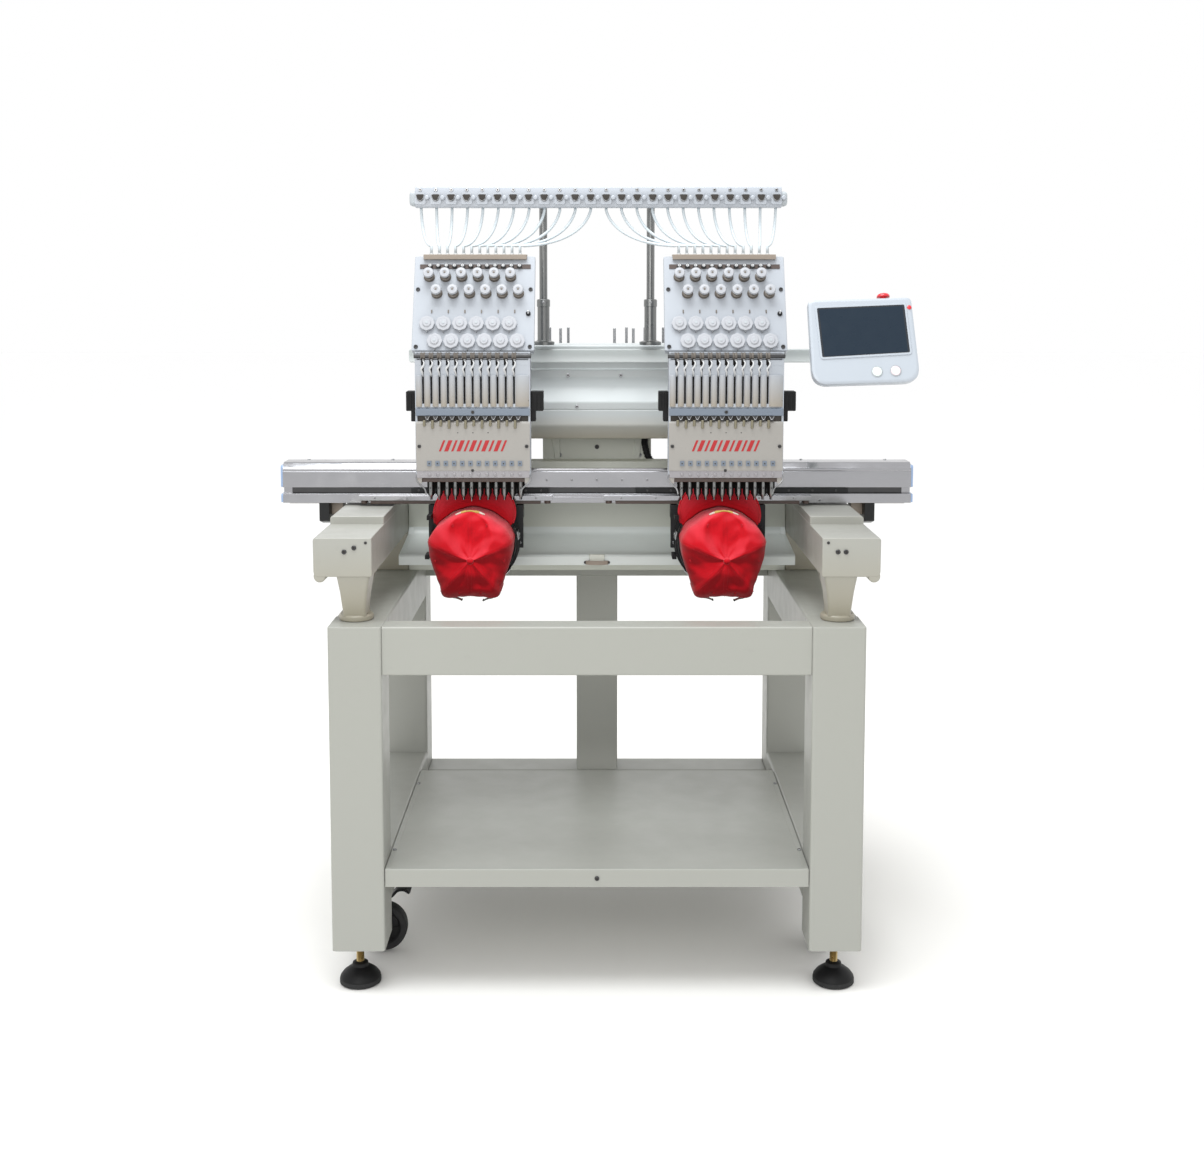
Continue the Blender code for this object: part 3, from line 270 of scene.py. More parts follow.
M = {
    # The foot tones are painted shading by height: the stand, the arms, the needle-case columns and the upper
    # beam blend towards a darker beige at the bottom as painted shade.
    "stand": powder_coat("stand_paint", CREAM, foot=(0.1, 0.7, srgb(153, 154, 148))),
    # Painted light: a paler copy of the cream stand paint. It stands in for the light that reaches the
    # machine base, the centre column and the beds.
    "base": powder_coat("lit_cream_paint", srgb(198, 200, 190)),
    "tray": powder_coat("tray_paint", srgb(206, 211, 208)),
    "arm": powder_coat("arm_paint", srgb(156, 156, 149), foot=(0.72, 0.85, srgb(150, 145, 129))),
    "white": powder_coat("head_paint", WHITE, 0.36),
    "column": powder_coat("needle_case_paint", WHITE, 0.36, foot=(1.1, 1.165, srgb(146, 139, 128))),
    "beam": powder_coat("beam_paint", srgb(190, 195, 195), 0.38, foot=(1.0, 1.06, srgb(192, 184, 166))),
    "cover": powder_coat("cover_paint", srgb(150, 147, 142), 0.36),
    "ivory": moulded("ivory_plastic", srgb(190, 191, 192), 0.38, 0.15),
    "knob": moulded("knob_plastic", srgb(166, 168, 173), 0.42, 0.1),
    "plastic": moulded("panel_plastic", srgb(170, 177, 185), 0.36, 0.2),
    "grey_plastic": moulded("grey_plastic", srgb(168, 174, 178), 0.45),
    "blue_grey": moulded("blue_grey_plastic", srgb(108, 118, 131), 0.35, 0.2),
    "black": moulded("black_plastic", srgb(15, 15, 16), 0.5, 0.0, Specular_IOR_Level=0.25),
    "black_metal": brushed("black_metal", srgb(30, 31, 32), 0.45, 0.5, "Y", 0.05),
    "rubber": rubber("black_rubber", srgb(26, 26, 27)),
    "aluminium": brushed("anodised_aluminium", srgb(166, 166, 169), 0.17, 0.92, depth=0.03),
    "aluminium_end": brushed("anodised_end", srgb(150, 172, 205), 0.36, 0.6, "Z"),
    "steel": machined("machined_steel", srgb(160, 161, 163), 0.28),
    "chrome": machined("bright_chrome", srgb(205, 207, 210), 0.14),
    "post": brushed("ground_post_steel", srgb(132, 133, 132), 0.32, 0.85, "Z", 0.03),
    "roller": machined("roller_steel", srgb(112, 106, 100), 0.42, 0.6),
    "gap": moulded("deep_shadow", srgb(20, 19, 18), 0.9, 0.0, Specular_IOR_Level=0.1),
    # Painted highlight: the panel bar turns paler towards its underside.
    "bar": powder_coat("panel_bar_paint", srgb(176, 182, 181), 0.36, foot=(1.17, 1.188, srgb(218, 223, 222))),
    # Painted reflection: the dark olive that stands in for the upper beam's reflection on the cross beam's
    # top.
    "beam_reflection": powder_coat("beam_reflection_paint", srgb(96, 96, 84), 0.4),
    "dark_steel": machined("dark_steel", srgb(72, 72, 73), 0.36, 0.8),
    "shadow": moulded("dark_recess", srgb(56, 52, 48), 0.8, 0.0),
    "brass": machined("brass_stud", srgb(190, 168, 120), 0.3),
    "nylon": moulded("thread_tube_nylon", srgb(196, 205, 210), 0.34, 0.15, Transmission_Weight=0.08),
    "acrylic": moulded("clear_acrylic", srgb(156, 153, 156), 0.22, 0.2, Transmission_Weight=0.2),
    "brown": moulded("brown_phenolic", srgb(140, 128, 116), 0.5),
    "dark_brown": moulded("dark_brown_bar", srgb(66, 52, 46), 0.5),
    "olive": moulded("olive_stub", srgb(118, 112, 92), 0.4),
    "red": moulded("red_plastic", RED, 0.3, 0.4),
    "red_mark": moulded("red_print", srgb(166, 22, 28), 0.5, 0.0),
    "screen": moulded("screen_glass", srgb(30, 42, 54), 0.3, 0.0, Specular_IOR_Level=0.2),
    "screen_rim": moulded("screen_rim", srgb(24, 30, 38), 0.3),
    "start_button": moulded("start_button_plastic", srgb(206, 214, 212), 0.35, 0.3),
    "stop_button": moulded("stop_button_plastic", srgb(216, 202, 206), 0.35, 0.3),
    # Each twill takes its cloth colour, then a dark colour used for painted shade on down-facing cloth and
    # for the weave, then a lit colour used as a painted highlight on up-facing cloth.
    "fabric": twill("red_twill", srgb(192, 14, 28), srgb(118, 5, 14), srgb(232, 74, 88)),
    "bill": twill("bill_twill", srgb(196, 16, 30), srgb(84, 4, 10), srgb(226, 66, 80)),
    "stitch": twill("red_thread", srgb(190, 22, 34), srgb(130, 10, 18), srgb(224, 70, 82)),
    "gold": twill("gold_thread", srgb(206, 170, 84), srgb(160, 122, 48), srgb(222, 192, 110)),
    "pale_thread": twill("pale_thread", srgb(216, 208, 196), srgb(176, 160, 140), srgb(226, 216, 206)),
}


# ---------------------------------------------------------------- mesh tools

def rounded(points, radius, steps=4):
    """A closed 2-D outline with its corners rounded; radius may be one number or one per corner."""
    count = len(points)
    radii = radius if isinstance(radius, (list, tuple)) else [radius] * count
    out = []
    for k, (point, size) in enumerate(zip(points, radii)):
        here = Vector(point)
        before = Vector(points[k - 1]) - here
        after = Vector(points[(k + 1) % count]) - here
        if size <= 0:
            out.append(tuple(here))
            continue
        start = here + before.normalized() * min(size, before.length * 0.48)
        end = here + after.normalized() * min(size, after.length * 0.48)
        for n in range(steps + 1):
            t = n / steps
            out.append(tuple((1 - t) ** 2 * start + 2 * t * (1 - t) * here + t * t * end))
    return out


def mm(points):
    """Points in metres from a text in millimetres, with a comma between two points."""
    return [tuple(float(n) / 1000 for n in point.split()) for point in points.split(",")]


def rectangle(x, z, radius=0, steps=4):
    corners = [(x[0], z[0]), (x[1], z[0]), (x[1], z[1]), (x[0], z[1])]
    return rounded(corners, radius, steps) if radius else corners


def mirrored(side, near, far):
    """The span between two distances from the middle, on one side of it."""
    return sorted((side * near, side * far))


def circle(count):
    """Evenly spaced angles around a full turn."""
    return [2 * pi * k / count for k in range(count)]


def sweep(start, step, count):
    """Angles in radians, given by their start and step in degrees."""
    return [radians(start + step * k) for k in range(count)]


def around(middle, half):
    return (middle - half, middle + half)


def curve(points, steps):
    """A smooth route through the points."""
    points = [Vector(p) for p in points]
    ends = [points[0] * 2 - points[1], *points, points[-1] * 2 - points[-2]]
    out = []
    for a, b, c, d in zip(ends, ends[1:], ends[2:], ends[3:]):
        for n in range(steps):
            t = n / steps
            out.append(0.5 * (2 * b + (c - a) * t + (2 * a - 5 * b + 4 * c - d) * t ** 2
                + (3 * b - a - 3 * c + d) * t ** 3))
    return out + [points[-1]]


class Piece:
    """One visible piece. Each call adds a closed shape in the paint that is in use."""

    def __init__(self, name):
        self.bm = bmesh.new()
        self.paints = []
        self.use(name)

    def use(self, name):
        paint = M[name]
        if paint not in self.paints:
            self.paints.append(paint)
        self.index = self.paints.index(paint)
        return self

    def face(self, verts):
        made = self.bm.faces.new(verts)
        made.material_index = self.index
        made.smooth = True

    def loft(self, rings, ends=True, loop=False):
        rows = [[self.bm.verts.new(p) for p in ring] for ring in rings]
        pairs = list(zip(rows, rows[1:])) + ([(rows[-1], rows[0])] if loop else [])
        for near, far in pairs:
            for k in range(len(near)):
                n = (k + 1) % len(near)
                self.face((near[k], near[n], far[n], far[k]))
        if ends and not loop:
            self.face(rows[0])
            self.face(rows[-1])
        return self

    def box(self, x, d, z):
        return self.loft([[at(px, pd, height) for px, pd in rectangle(x, d)] for height in z])

    def along_x(self, outline, x):
        """Extrude a (depth, height) outline."""
        return self.loft([[at(px, d, z) for d, z in outline] for px in x])

    def along_d(self, outline, d):
        """Extrude an (x, height) outline."""
        return self.loft([[at(x, pd, z) for x, z in outline] for pd in d])

    def along_z(self, outline, z):
        """Extrude an (x, depth) outline."""
        return self.loft([[at(x, d, height) for x, d in outline] for height in z])

    def turn(self, profile, centre, axis, sides=24):
        """Revolve (radius, distance) points; it closes on itself unless it meets the axis."""
        turn = Vector(axis).to_track_quat("Z", "Y")
        rings = []
        for k in range(sides):
            spin = 2 * pi * k / sides
            rings.append([centre + turn @ Vector((r * cos(spin), r * sin(spin), h)) for r, h in profile])
        solid = profile[0][0] == 0 and profile[-1][0] == 0
        rows = [[self.bm.verts.new(p) for p in (ring[1:-1] if solid else ring)] for ring in rings]
        tips = [self.bm.verts.new(rings[0][n]) for n in (0, -1)] if solid else []
        for k, row in enumerate(rows):
            other = rows[(k + 1) % sides]
            for n in range(len(row) - 1):
                self.face((row[n], row[n + 1], other[n + 1], other[n]))
            if solid:
                self.face((tips[0], row[0], other[0]))
                self.face((tips[1], other[-1], row[-1]))
            else:
                self.face((row[-1], row[0], other[0], other[-1]))
        return self

    def rod(self, start, end, radius, sides=16, chamfer=0.0006):
        long = (end - start).length
        tip = max(radius - chamfer, radius * 0.4)
        profile = [(0, 0), (tip, 0), (radius, chamfer), (radius, long - chamfer), (tip, long), (0, long)]
        return self.turn(profile, start, end - start, sides)

    def tube(self, points, radius, sides=8):
        """A round tube along points; radius may change along it."""
        points = [Vector(p) for p in points]
        radii = radius if isinstance(radius, (list, tuple)) else [radius] * len(points)
        rings = []
        across = None
        for k, (point, size) in enumerate(zip(points, radii)):
            way = (points[min(k + 1, len(points) - 1)] - points[max(k - 1, 0)]).normalized()
            if across is None:
                across = way.orthogonal().normalized()
            across = (across - way * across.dot(way)).normalized()
            up = way.cross(across)
            rings.append([point + size * (cos(2 * pi * n / sides) * across + sin(2 * pi * n / sides) * up)
                for n in range(sides)])
        return self.loft(rings)

    def strip(self, points, across, width, thick):
        """A flat strip along points, with its width across and its thickness square to both."""
        points = [Vector(p) for p in points]
        across = Vector(across).normalized()
        rings = []
        for k, point in enumerate(points):
            way = (points[min(k + 1, len(points) - 1)] - points[max(k - 1, 0)]).normalized()
            up = way.cross(across).normalized()
            rings.append([point + across * a * width / 2 + up * b * thick / 2 for a,
                b in ((-1, -1), (1, -1), (1, 1), (-1, 1))])
        return self.loft(rings)

    def grid(self, xs, zs, open_cells, d):
        """A plate made of cells, with the open cells left out as windows."""
        near, far = {}, {}

        def corner(store, i, j, depth):
            if (i, j) not in store:
                store[i, j] = self.bm.verts.new(at(xs[i], depth, zs[j]))
            return store[i, j]

        filled = {(i, j) for i in range(len(xs) - 1) for j in range(len(zs) - 1) if (i, j) not in open_cells}
        for i, j in filled:
            ring = ((i, j), (i + 1, j), (i + 1, j + 1), (i, j + 1))
            self.face([corner(near, *c, d[0]) for c in ring])
            self.face([corner(far, *c, d[1]) for c in reversed(ring)])
            for k, (di, dj) in enumerate(((0, -1), (1, 0), (0, 1), (-1, 0))):
                if (i + di, j + dj) not in filled:
                    a, b = ring[k], ring[(k + 1) % 4]
                    self.face((corner(near, *b, d[0]), corner(near, *a, d[0]), corner(far, *a, d[1]),
                        corner(far, *b, d[1])))
        return self

    def screws(self, xs, ds, zs, axis=FRONT, size=0.004, paint="steel"):
        """A screw at every combination of the places across, in depth and in height."""
        for x in xs:
            for d in ds:
                for z in zs:
                    self.screw(at(x, d, z), axis, size, paint)

    def screw(self, place, axis=FRONT, size=0.004, paint="steel"):
        """A socket-head screw that stands on a surface."""
        self.use(paint)
        head = size * 0.55
        self.turn([(0, 0), (size, 0), (size, head * 0.7), (size * 0.85, head), (size * 0.52, head),
            (size * 0.46, head * 0.45), (0, head * 0.45)], place, axis, 16)
        self.use("shadow").turn([(0, 0), (size * 0.45, 0), (size * 0.45, head * 0.5), (0, head * 0.5)], place,
            axis, 6)
        return self


def join_frame(obj, body, node):
    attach(obj, body)
    if node:
        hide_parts(node)
    return obj


def to_object(bm, paints, name):
    bmesh.ops.recalc_face_normals(bm, faces=bm.faces)
    mesh = bpy.data.meshes.new(name)
    bm.to_mesh(mesh)
    bm.free()
    for paint in paints:
        mesh.materials.append(paint)
    obj = bpy.data.objects.new(name, mesh)
    bpy.context.scene.collection.objects.link(obj)
    return obj


def round_edges(obj, width, segments):
    bevel = obj.modifiers.new("edges", "BEVEL")
    bevel.width = width
    bevel.segments = segments
    bevel.limit_method = "ANGLE"
    return bevel


def finish(piece, name, body="root", node=None, edge=0.0, angle=38):
    """Put a piece on its body, with its sharp edges rounded over or kept crisp."""
    obj = to_object(piece.bm, piece.paints, name)
    if edge:
        bevel = round_edges(obj, edge, 2)
        bevel.angle_limit = radians(angle)
        bevel.harden_normals = True
        bevel.use_clamp_overlap = False
    else:
        mark_sharp(obj.data, radians(angle))
    flat = obj.modifiers.new("flat_faces", "WEIGHTED_NORMAL")
    flat.keep_sharp = True
    return join_frame(obj, body, node)


def mark_sharp(mesh, angle):
    bm = bmesh.new()
    bm.from_mesh(mesh)
    for edge in bm.edges:
        if len(edge.link_faces) == 2 and edge.calc_face_angle() > angle:
            edge.smooth = False
    bm.to_mesh(mesh)
    bm.free()


def carry(node, paint):
    """Keep a CAD node and give it a real material."""
    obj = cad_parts[node]
    obj.data.materials.clear()
    obj.data.materials.append(paint)
    round_edges(obj, 0.0004, 1)


def bead(piece, points, radius=0.0022):
    """A weld bead along points, a little uneven."""
    route = []
    for a, b in zip(points, points[1:]):
        a, b = Vector(a), Vector(b)
        count = max(2, int((b - a).length / 0.006))
        route += [a.lerp(b, n / count) for n in range(count)]
    route.append(Vector(points[-1]))
    piece.tube(route, [radius * random.uniform(0.8, 1.2) for _ in route], 6)


# ---------------------------------------------------------------- stand

def tube_end(piece, x, d, z):
    """The plastic plug in the end of a square leg, with the nut of its foot."""
    piece.box(around(x, 0.044), around(d, 0.044), (z - 0.0004, z + 0.004))
    piece.use("steel").turn(mm("9 0, 15 0, 15 6, 9 6"), at(x, d, z + 0.0003), UP, 6)
    piece.use("black")


def side_frames():
    top = STAND_TOP
    for word, side in SIDES:
        outer = mirrored(side, LEG_INNER, LEG_OUTER)
        frame_piece = Piece("stand")
        for d in ((0.0, 0.1), (STAND_DEPTH - 0.1, STAND_DEPTH)):
            frame_piece.along_z(rectangle(outer, d, 0.006), (0.081, top))
        for z in ((top - 0.092, top), (0.145, 0.24)):
            frame_piece.along_d(rectangle(outer, z, 0.006), (0.0995, STAND_DEPTH - 0.0995))
        finish(frame_piece, f"stand_side_{word}", node=f"side_frame_{word}", edge=0.0012)
        welds = Piece("stand")
        for d in (0.1005, STAND_DEPTH - 0.1005):
            for low, high in ((top - 0.092, top), (0.145, 0.24)):
                for x in (outer[0] + 0.002, outer[1] - 0.002):
                    bead(welds, [at(x, d, low + 0.004), at(x, d, high - 0.004)])
                bead(welds, [at(outer[0] + 0.004, d, low + 0.001), at(outer[1] - 0.004, d, low + 0.001)])
        welds.use("black")
        for d in (0.05, STAND_DEPTH - 0.05):
            tube_end(welds, side * 0.45, d, 0.0814)
        finish(welds, f"stand_welds_{word}")


def cross_members():
    top = STAND_TOP
    half = LEG_INNER - 0.0004
    front = Piece("stand")
    low = top - 0.092
    outer = rounded([(0.058, top), (0.005, top), (0.005, low), (0.058, low)], [0, 0.004, 0.004, 0])
    inner = rounded([(0.058, low + 0.003), (0.008, low + 0.003), (0.008, top - 0.003), (0.058, top - 0.003)],
        [0, 0.002, 0.002, 0])
    front.along_x(outer + inner, (-half, half))
    finish(front, "stand_front_rail_skin", node="stand_front_rail", edge=0.0006)
    shelf = Piece("stand")
    outer = rounded(mm("5 205, 5 240, 587 240, 587 205"), [0, 0.003, 0.003, 0])
    inner = mm("584 205, 584 237, 8 237, 8 205")
    shelf.along_x(outer + inner, (-half + 0.0006, half - 0.0006))
    for side in (-1, 1):
        shelf.box(mirrored(side, 0.3962, 0.399), (0.0055, 0.5865), (0.206, 0.2395))
        shelf.along_z(rectangle(mirrored(side, 0.3885, 0.3988), (0.007, 0.585), 0.002), (0.2396, 0.2406))
    finish(shelf, "shelf_pan", node="lower_shelf", edge=0.0005)
    rear = Piece("stand")
    for z in ((0.66, top), (0.105, 0.195)):
        rear.along_x(rectangle((0.725, 0.815), z, 0.005), (-half, half))
    rear.along_z(rectangle((-0.048, 0.048), (0.73, 0.81), 0.005), (0.19, 0.665))
    finish(rear, "rear_rails", node="rear_cross_frame", edge=0.001)
    hardware = Piece("steel")
    hardware.screw(at(0.0, 0.005, 0.222), size=0.0045, paint="dark_steel")
    for side in (-1, 1):
        hardware.screws([side * 0.3995], [0.033], (top - 0.028, top - 0.066), (-side, 0, 0), 0.006)
        hardware.screws([side * 0.3935], (0.1, 0.49), [0.2406], UP)
        hardware.use("stand")
        for z in (0.193, 0.662):
            bead(hardware, [at(side * 0.0485, 0.732, z), at(side * 0.0485, 0.808, z)], 0.002)
    finish(hardware, "stand_screws")


def levelling_feet():
    for along, d in (("front", 0.05), ("rear", STAND_DEPTH - 0.05)):
        for word, side in SIDES:
            centre = at(side * 0.455, d, 0)
            foot = Piece("rubber")
            foot.turn(mm("0 0, 37 0, 39.5 2, 39.5 9, 37.5 11, 0 11"), centre, UP, 48)
            foot.use("black").turn(mm("0 10, 38.5 10, 38.5 13, 33 20.5, 24 27.5, 16 32.5, 14.5 39, 10 41.5, "
                "0 41.5"), centre, UP, 48)
            foot.use("brass")
            thread = [(0, 0.04)]
            for k in range(14):
                z = 0.0405 + k * 0.002
                thread += [(0.0068, z), (0.0076, z + 0.001)]
            foot.turn([*thread, (0.0068, 0.069), (0, 0.069)], centre, UP, 20)
            foot.turn(mm("6 69.2, 11.5 69.2, 12.5 70.5, 12.5 79.5, 11.5 80.6, 6 80.6"), centre, UP, 6)
            finish(foot, f"foot_{along}_{word}", f"levelling_foot_{along}_{word}",
                f"levelling_foot_{along}_{word}")


def casters():
    """The left casters trail to the right, and the right ones trail backwards."""
    for along, d in (("front", 0.185), ("rear", STAND_DEPTH - 0.185)):
        for word, side in SIDES:
            corner = f"{along}_{word}"
            spin = Matrix.Rotation(pi / 2 if side > 0 else 0.0, 4, "Z")
            place = Matrix.Translation(at(side * 0.455, d, 0)) @ spin
            for piece, name, slot in ((caster_fork(), "fork", "steel"), (caster_wheel(), "wheel", "rubber")):
                bmesh.ops.transform(piece.bm, matrix=place @ Matrix.Translation((0, -FRONT_Y, 0)),
                    verts=piece.bm.verts)
                node = f"caster_{name}_{corner}"
                finish(piece, f"{node}_detail", node, node)


def caster_fork():
    fork = Piece("steel")
    fork.turn(mm("0 112, 27 112, 28 114.5, 28 120, 24 122.5, 24 126.5, 28.5 129, 28.5 138.5, 26 140.5, "
        "31 141.8, 31 144.6, 0 144.6"), at(0, 0, 0), UP, 32)
    fork.use("chrome").turn(mm("23.5 121.5, 26.2 122.5, 26.2 127, 23.5 128"), at(0, 0, 0), UP, 32)
    fork.use("steel")
    top = rounded(mm("-22 -21.5, 40 -21.5, 40 21.5, -22 21.5"), 0.006)
    fork.along_z(top, (0.1035, 0.113))
    for side in (-1, 1):
        radii = [0.002, 0.004, 0.006, 0.006, 0.006, 0.008]
        cheek = rounded(mm("-19 112, 39 112, 38 50, 30 41, 20 41, 13 50"), radii, 5)
        fork.along_d(cheek, mirrored(side, 0.0166, 0.0206))
        fork.turn(mm("0 20.6, 8.5 20.6, 8.5 25.2, 7.5 26.2, 0 26.2"), at(0.026, 0, 0.052), (0, side, 0), 6)
    fork.use("black")
    pedal = curve([at(x, 0, z) for x, z in mm("26 108.5, 44 116.5, 55 127.5, 68 129.5, 79 123.5")], 4)
    fork.strip(pedal, BACK, 0.026, 0.005)
    fork.strip([at(0.073, 0, 0.13), at(0.08, 0, 0.1235)], BACK, 0.03, 0.004)
    return fork


def caster_wheel():
    hub = at(0.026, 0, 0.052)
    wheel = Piece("rubber")
    wheel.turn(mm("36 -12.5, 44.5 -13.5, 47.2 -11.5, 48 -6, 48 6, 47.2 11.5, 44.5 13.5, 36 12.5"), hub, BACK,
        64)
    wheel.use("black").turn(mm("4.6 -14, 12 -14, 13.5 -10, 31 -8, 34.5 -11.8, 36.8 -11.8, 36.8 11.8, "
        "34.5 11.8, 31 8, 13.5 10, 12 14, 4.6 14"), hub, BACK, 48)
    for spin in circle(6):
        wheel.strip([hub + reach * Vector((cos(spin), 0, sin(spin))) for reach in (0.013, 0.034)], BACK,
            0.021, 0.003)
    return wheel


# ---------------------------------------------------------------- machine base, arms, column, beam

def machine_base():
    half = 0.4193
    low, top = STAND_TOP + 0.0004, 0.885
    base = Piece("base")
    outer = rounded([(0.571, low), (0.571, top), (0.8, top), (0.8, low)], [0, 0.005, 0.005, 0])
    inner = [(0.792, low), (0.792, top - 0.008), (0.579, top - 0.008), (0.579, low)]
    base.along_x(outer + inner, (-half, half))
    for side in (-1, 1):
        base.box(mirrored(side, 0.4115, half), (0.572, 0.799), (low, top - 0.001))
    finish(base, "base_box", node="machine_base", edge=0.0008)
    tray = Piece("tray")
    fillet = [(0.571 - 0.016 * (1 - sin(t)), 0.7855 + 0.016 * (1 - cos(t))) for t in sweep(0, 15, 7)]
    outline = [(0.4002, 0.746), (0.4002, 0.764), (0.404, 0.768), *fillet, (0.572, 0.803), (0.572, 0.781),
        (0.404, 0.764), (0.404, 0.746)]
    tray.along_x(outline, (-half, half))
    for side in (-1, 1):
        tray.along_x(mm("401 766, 570 784, 570 800, 560 786.5, 415 769.5"), mirrored(side, 0.4085, half))
    finish(tray, "front_tray", edge=0.0005, angle=20)
    details = Piece("brown")
    lip = [(0.024 * sin(t), 0.3995 - 0.009 * cos(t)) for t in sweep(-84, 14, 13)]
    details.along_z([*lip, (0.018, 0.4005), (-0.018, 0.4005)], (0.748, 0.756))
    details.use("base").along_z(rounded(mm("-15 396.5, 15 396.5, 17 404, -17 404"), 0.002), (0.756, 0.769))
    details.screws((-0.0245, 0.0245), [0.4], [0.752], size=0.0032, paint="dark_steel")
    details.screws((-0.34, 0.34), [0.571], (0.812, 0.868), size=0.0035)
    finish(details, "tray_spout")
    service = Piece("base")
    service.along_d(rectangle((-0.15, 0.15), (0.735, 0.86), 0.008), (0.799, 0.8022))
    service.use("shadow")
    for k in range(9):
        z = 0.762 + 0.0095 * k
        service.along_d(rectangle((-0.07, 0.07), (z, z + 0.0036), 0.0016), (0.8016, 0.8028))
    service.screws((-0.138, 0.138), [0.8022], (0.748, 0.847), BACK)
    finish(service, "service_cover")


def side_arms():
    for word, side in SIDES:
        low = 0.792
        arm = Piece("arm")
        nose = rounded([(side * 0.42, low), (side * 0.529, low), (side * 0.5295, 0.8655),
            (side * 0.42, 0.8655)], [0.003, 0.01, 0.006, 0.002])
        arm.along_d(nose, (0.03, 0.59))
        rear = rounded([(side * 0.4205, low + 0.004), (side * 0.5265, low + 0.004), (side * 0.5265, 0.881),
            (side * 0.4205, 0.881)], [0.003, 0.006, 0.006, 0.002])
        arm.along_d(rear, (0.198, 0.6))
        arm.box(mirrored(side, 0.4205, 0.526), (0.571, 0.8), (STAND_TOP + 0.0004, 0.88))
        finish(arm, f"arm_{word}_casting", node=f"arm_{word}", edge=0.0016)
        under = Piece("arm")
        under.rod(at(side * 0.5178, 0.0305, 0.7925), at(side * 0.5178, 0.59, 0.7925), 0.0114, 24, 0.002)
        sections = []
        for z, inner, outer, front, back in mm("713.5 434 480 48 102, 722 435 479 47 103, "
                "760 431 483 41 107, 798 424 489 34 112"):
            corners = rectangle(mirrored(side, inner, outer), (front, back), 0.008)
            sections.append([at(x, d, z) for x, d in corners])
        under.loft(sections)
        under.turn(mm("0 0, 31 0, 32.5 2, 32.5 9, 30 12, 0 12"), at(side * 0.457, 0.075, STAND_TOP + 0.0004),
            UP, 40)
        arc = [(0.1 + 0.3 * (1 - cos(t)), 0.716 + 0.08 * sin(t)) for t in sweep(0, 90 / 16, 17)]
        under.along_x([*arc, (0.098, 0.797)], mirrored(side, 0.4425, 0.4495))
        under.strip([at(side * 0.446, d, z - 0.0005) for d, z in arc], RIGHT, 0.02, 0.004)
        finish(under, f"arm_{word}_pedestal", edge=0.0008)
        bolts = Piece("steel")
        spots = "-471 839.5, -452.6 847, -431 856.5" if side < 0 else "449 839.5, 464 839.5, 431 856.5"
        for n, (x, z) in enumerate(mm(spots)):
            bolts.screw(at(x, 0.03, z), size=0.0046 if n < 2 else 0.0028, paint="dark_steel")
        bolts.screws([side * 0.5265], (0.16, 0.4, 0.56), [0.845], (side, 0, 0), 0.005)
        bolts.screws([side * 0.526], (0.6, 0.77), (0.73, 0.85), (side, 0, 0), 0.005)
        finish(bolts, f"arm_{word}_screws")


def column_and_beam():
    low, high = 0.8854, 1.0046
    column = Piece("base")
    right = [(0.15, low), (0.15, low + 0.01), (0.144, low + 0.014), (0.126, low + 0.03), (0.12, low + 0.044),
        (0.12, high)]
    column.along_d([*right, *[(-x, z) for x, z in reversed(right)]], (0.573, 0.655))
    for side in (-1, 1):
        rib = [(side * 0.101, high), (side * 0.083, high), (side * 0.08, low + 0.045),
            (side * 0.088, low + 0.03)]
        column.along_d(rib, (0.5705, 0.574))
    finish(column, "center_column_casting", node="center_column", edge=0.0012, angle=20)
    beam = Piece("beam")
    outline = mm("500 1005, 640 1005, 640 1208, 534 1208, 530 1204, 530 1156, 524 1153, 524 1137, "
        "480.2 1086, 480.2 1071, 481.2 1070.2, 481.2 1068.6, 480.2 1067.8, 480.2 1035")
    radii = [0.004, 0.006, 0.006, 0.002, 0.002, 0.001, 0.001, 0.003, 0.003, 0, 0, 0, 0, 0.004]
    beam.along_x(rounded(outline, radii, 3), (-0.3495, 0.3495))
    finish(beam, "upper_beam_cover", node="upper_beam", edge=0.0008, angle=16)
    ends = Piece("white")
    for side in (-1, 1):
        plate = rounded(mm("503 1008, 637 1008, 637 1205, 537 1205, 527.5 1137, 483.5 1085, 483.5 1036"),
            0.005)
        ends.along_x(plate, mirrored(side, 0.349, 0.352))
    finish(ends, "upper_beam_ends", edge=0.0008)
    screws = Piece("steel")
    screws.screws((-0.063, 0.052), [0.524], [1.1415], size=0.0045)
    screws.screw(at(-0.043, 0.4802, 1.0765), size=0.0042)
    screws.screw(at(0.0, 0.573, 0.98), size=0.005, paint="dark_steel")
    screws.screws((-0.082, 0.095), [0.573], [0.962], size=0.0045)
    for side in (-1, 1):
        for d, z in ((0.625, 1.02), (0.625, 1.192), (0.55, 1.192), (0.5, 1.045)):
            screws.screw(at(side * 0.352, d, z), (side, 0, 0), 0.0042)
        screws.screws([side * 0.137], (0.59, 0.64), [low + 0.01], UP, 0.0055)
    finish(screws, "beam_screws")


def conduit():
    """Corrugated black conduit from the beam down to the base."""
    route = curve([at(*place) for place in mm("106 552 1004.5, 106 552 985, 118 553 952, 150 564 928, "
        "182 588 913, 190 600 900, 190 600 885.5")], 22)
    piece = Piece("black")
    piece.tube(route, [0.008 if k % 4 < 2 else 0.007 for k in range(len(route))], 14)
    piece.turn(mm("0 0, 12.5 0, 12.5 6, 10 9, 0 9"), at(0.19, 0.6, 0.8852), UP, 6)
    finish(piece, "cable_conduit_detail", node="cable_conduit")


# ---------------------------------------------------------------- thread stand

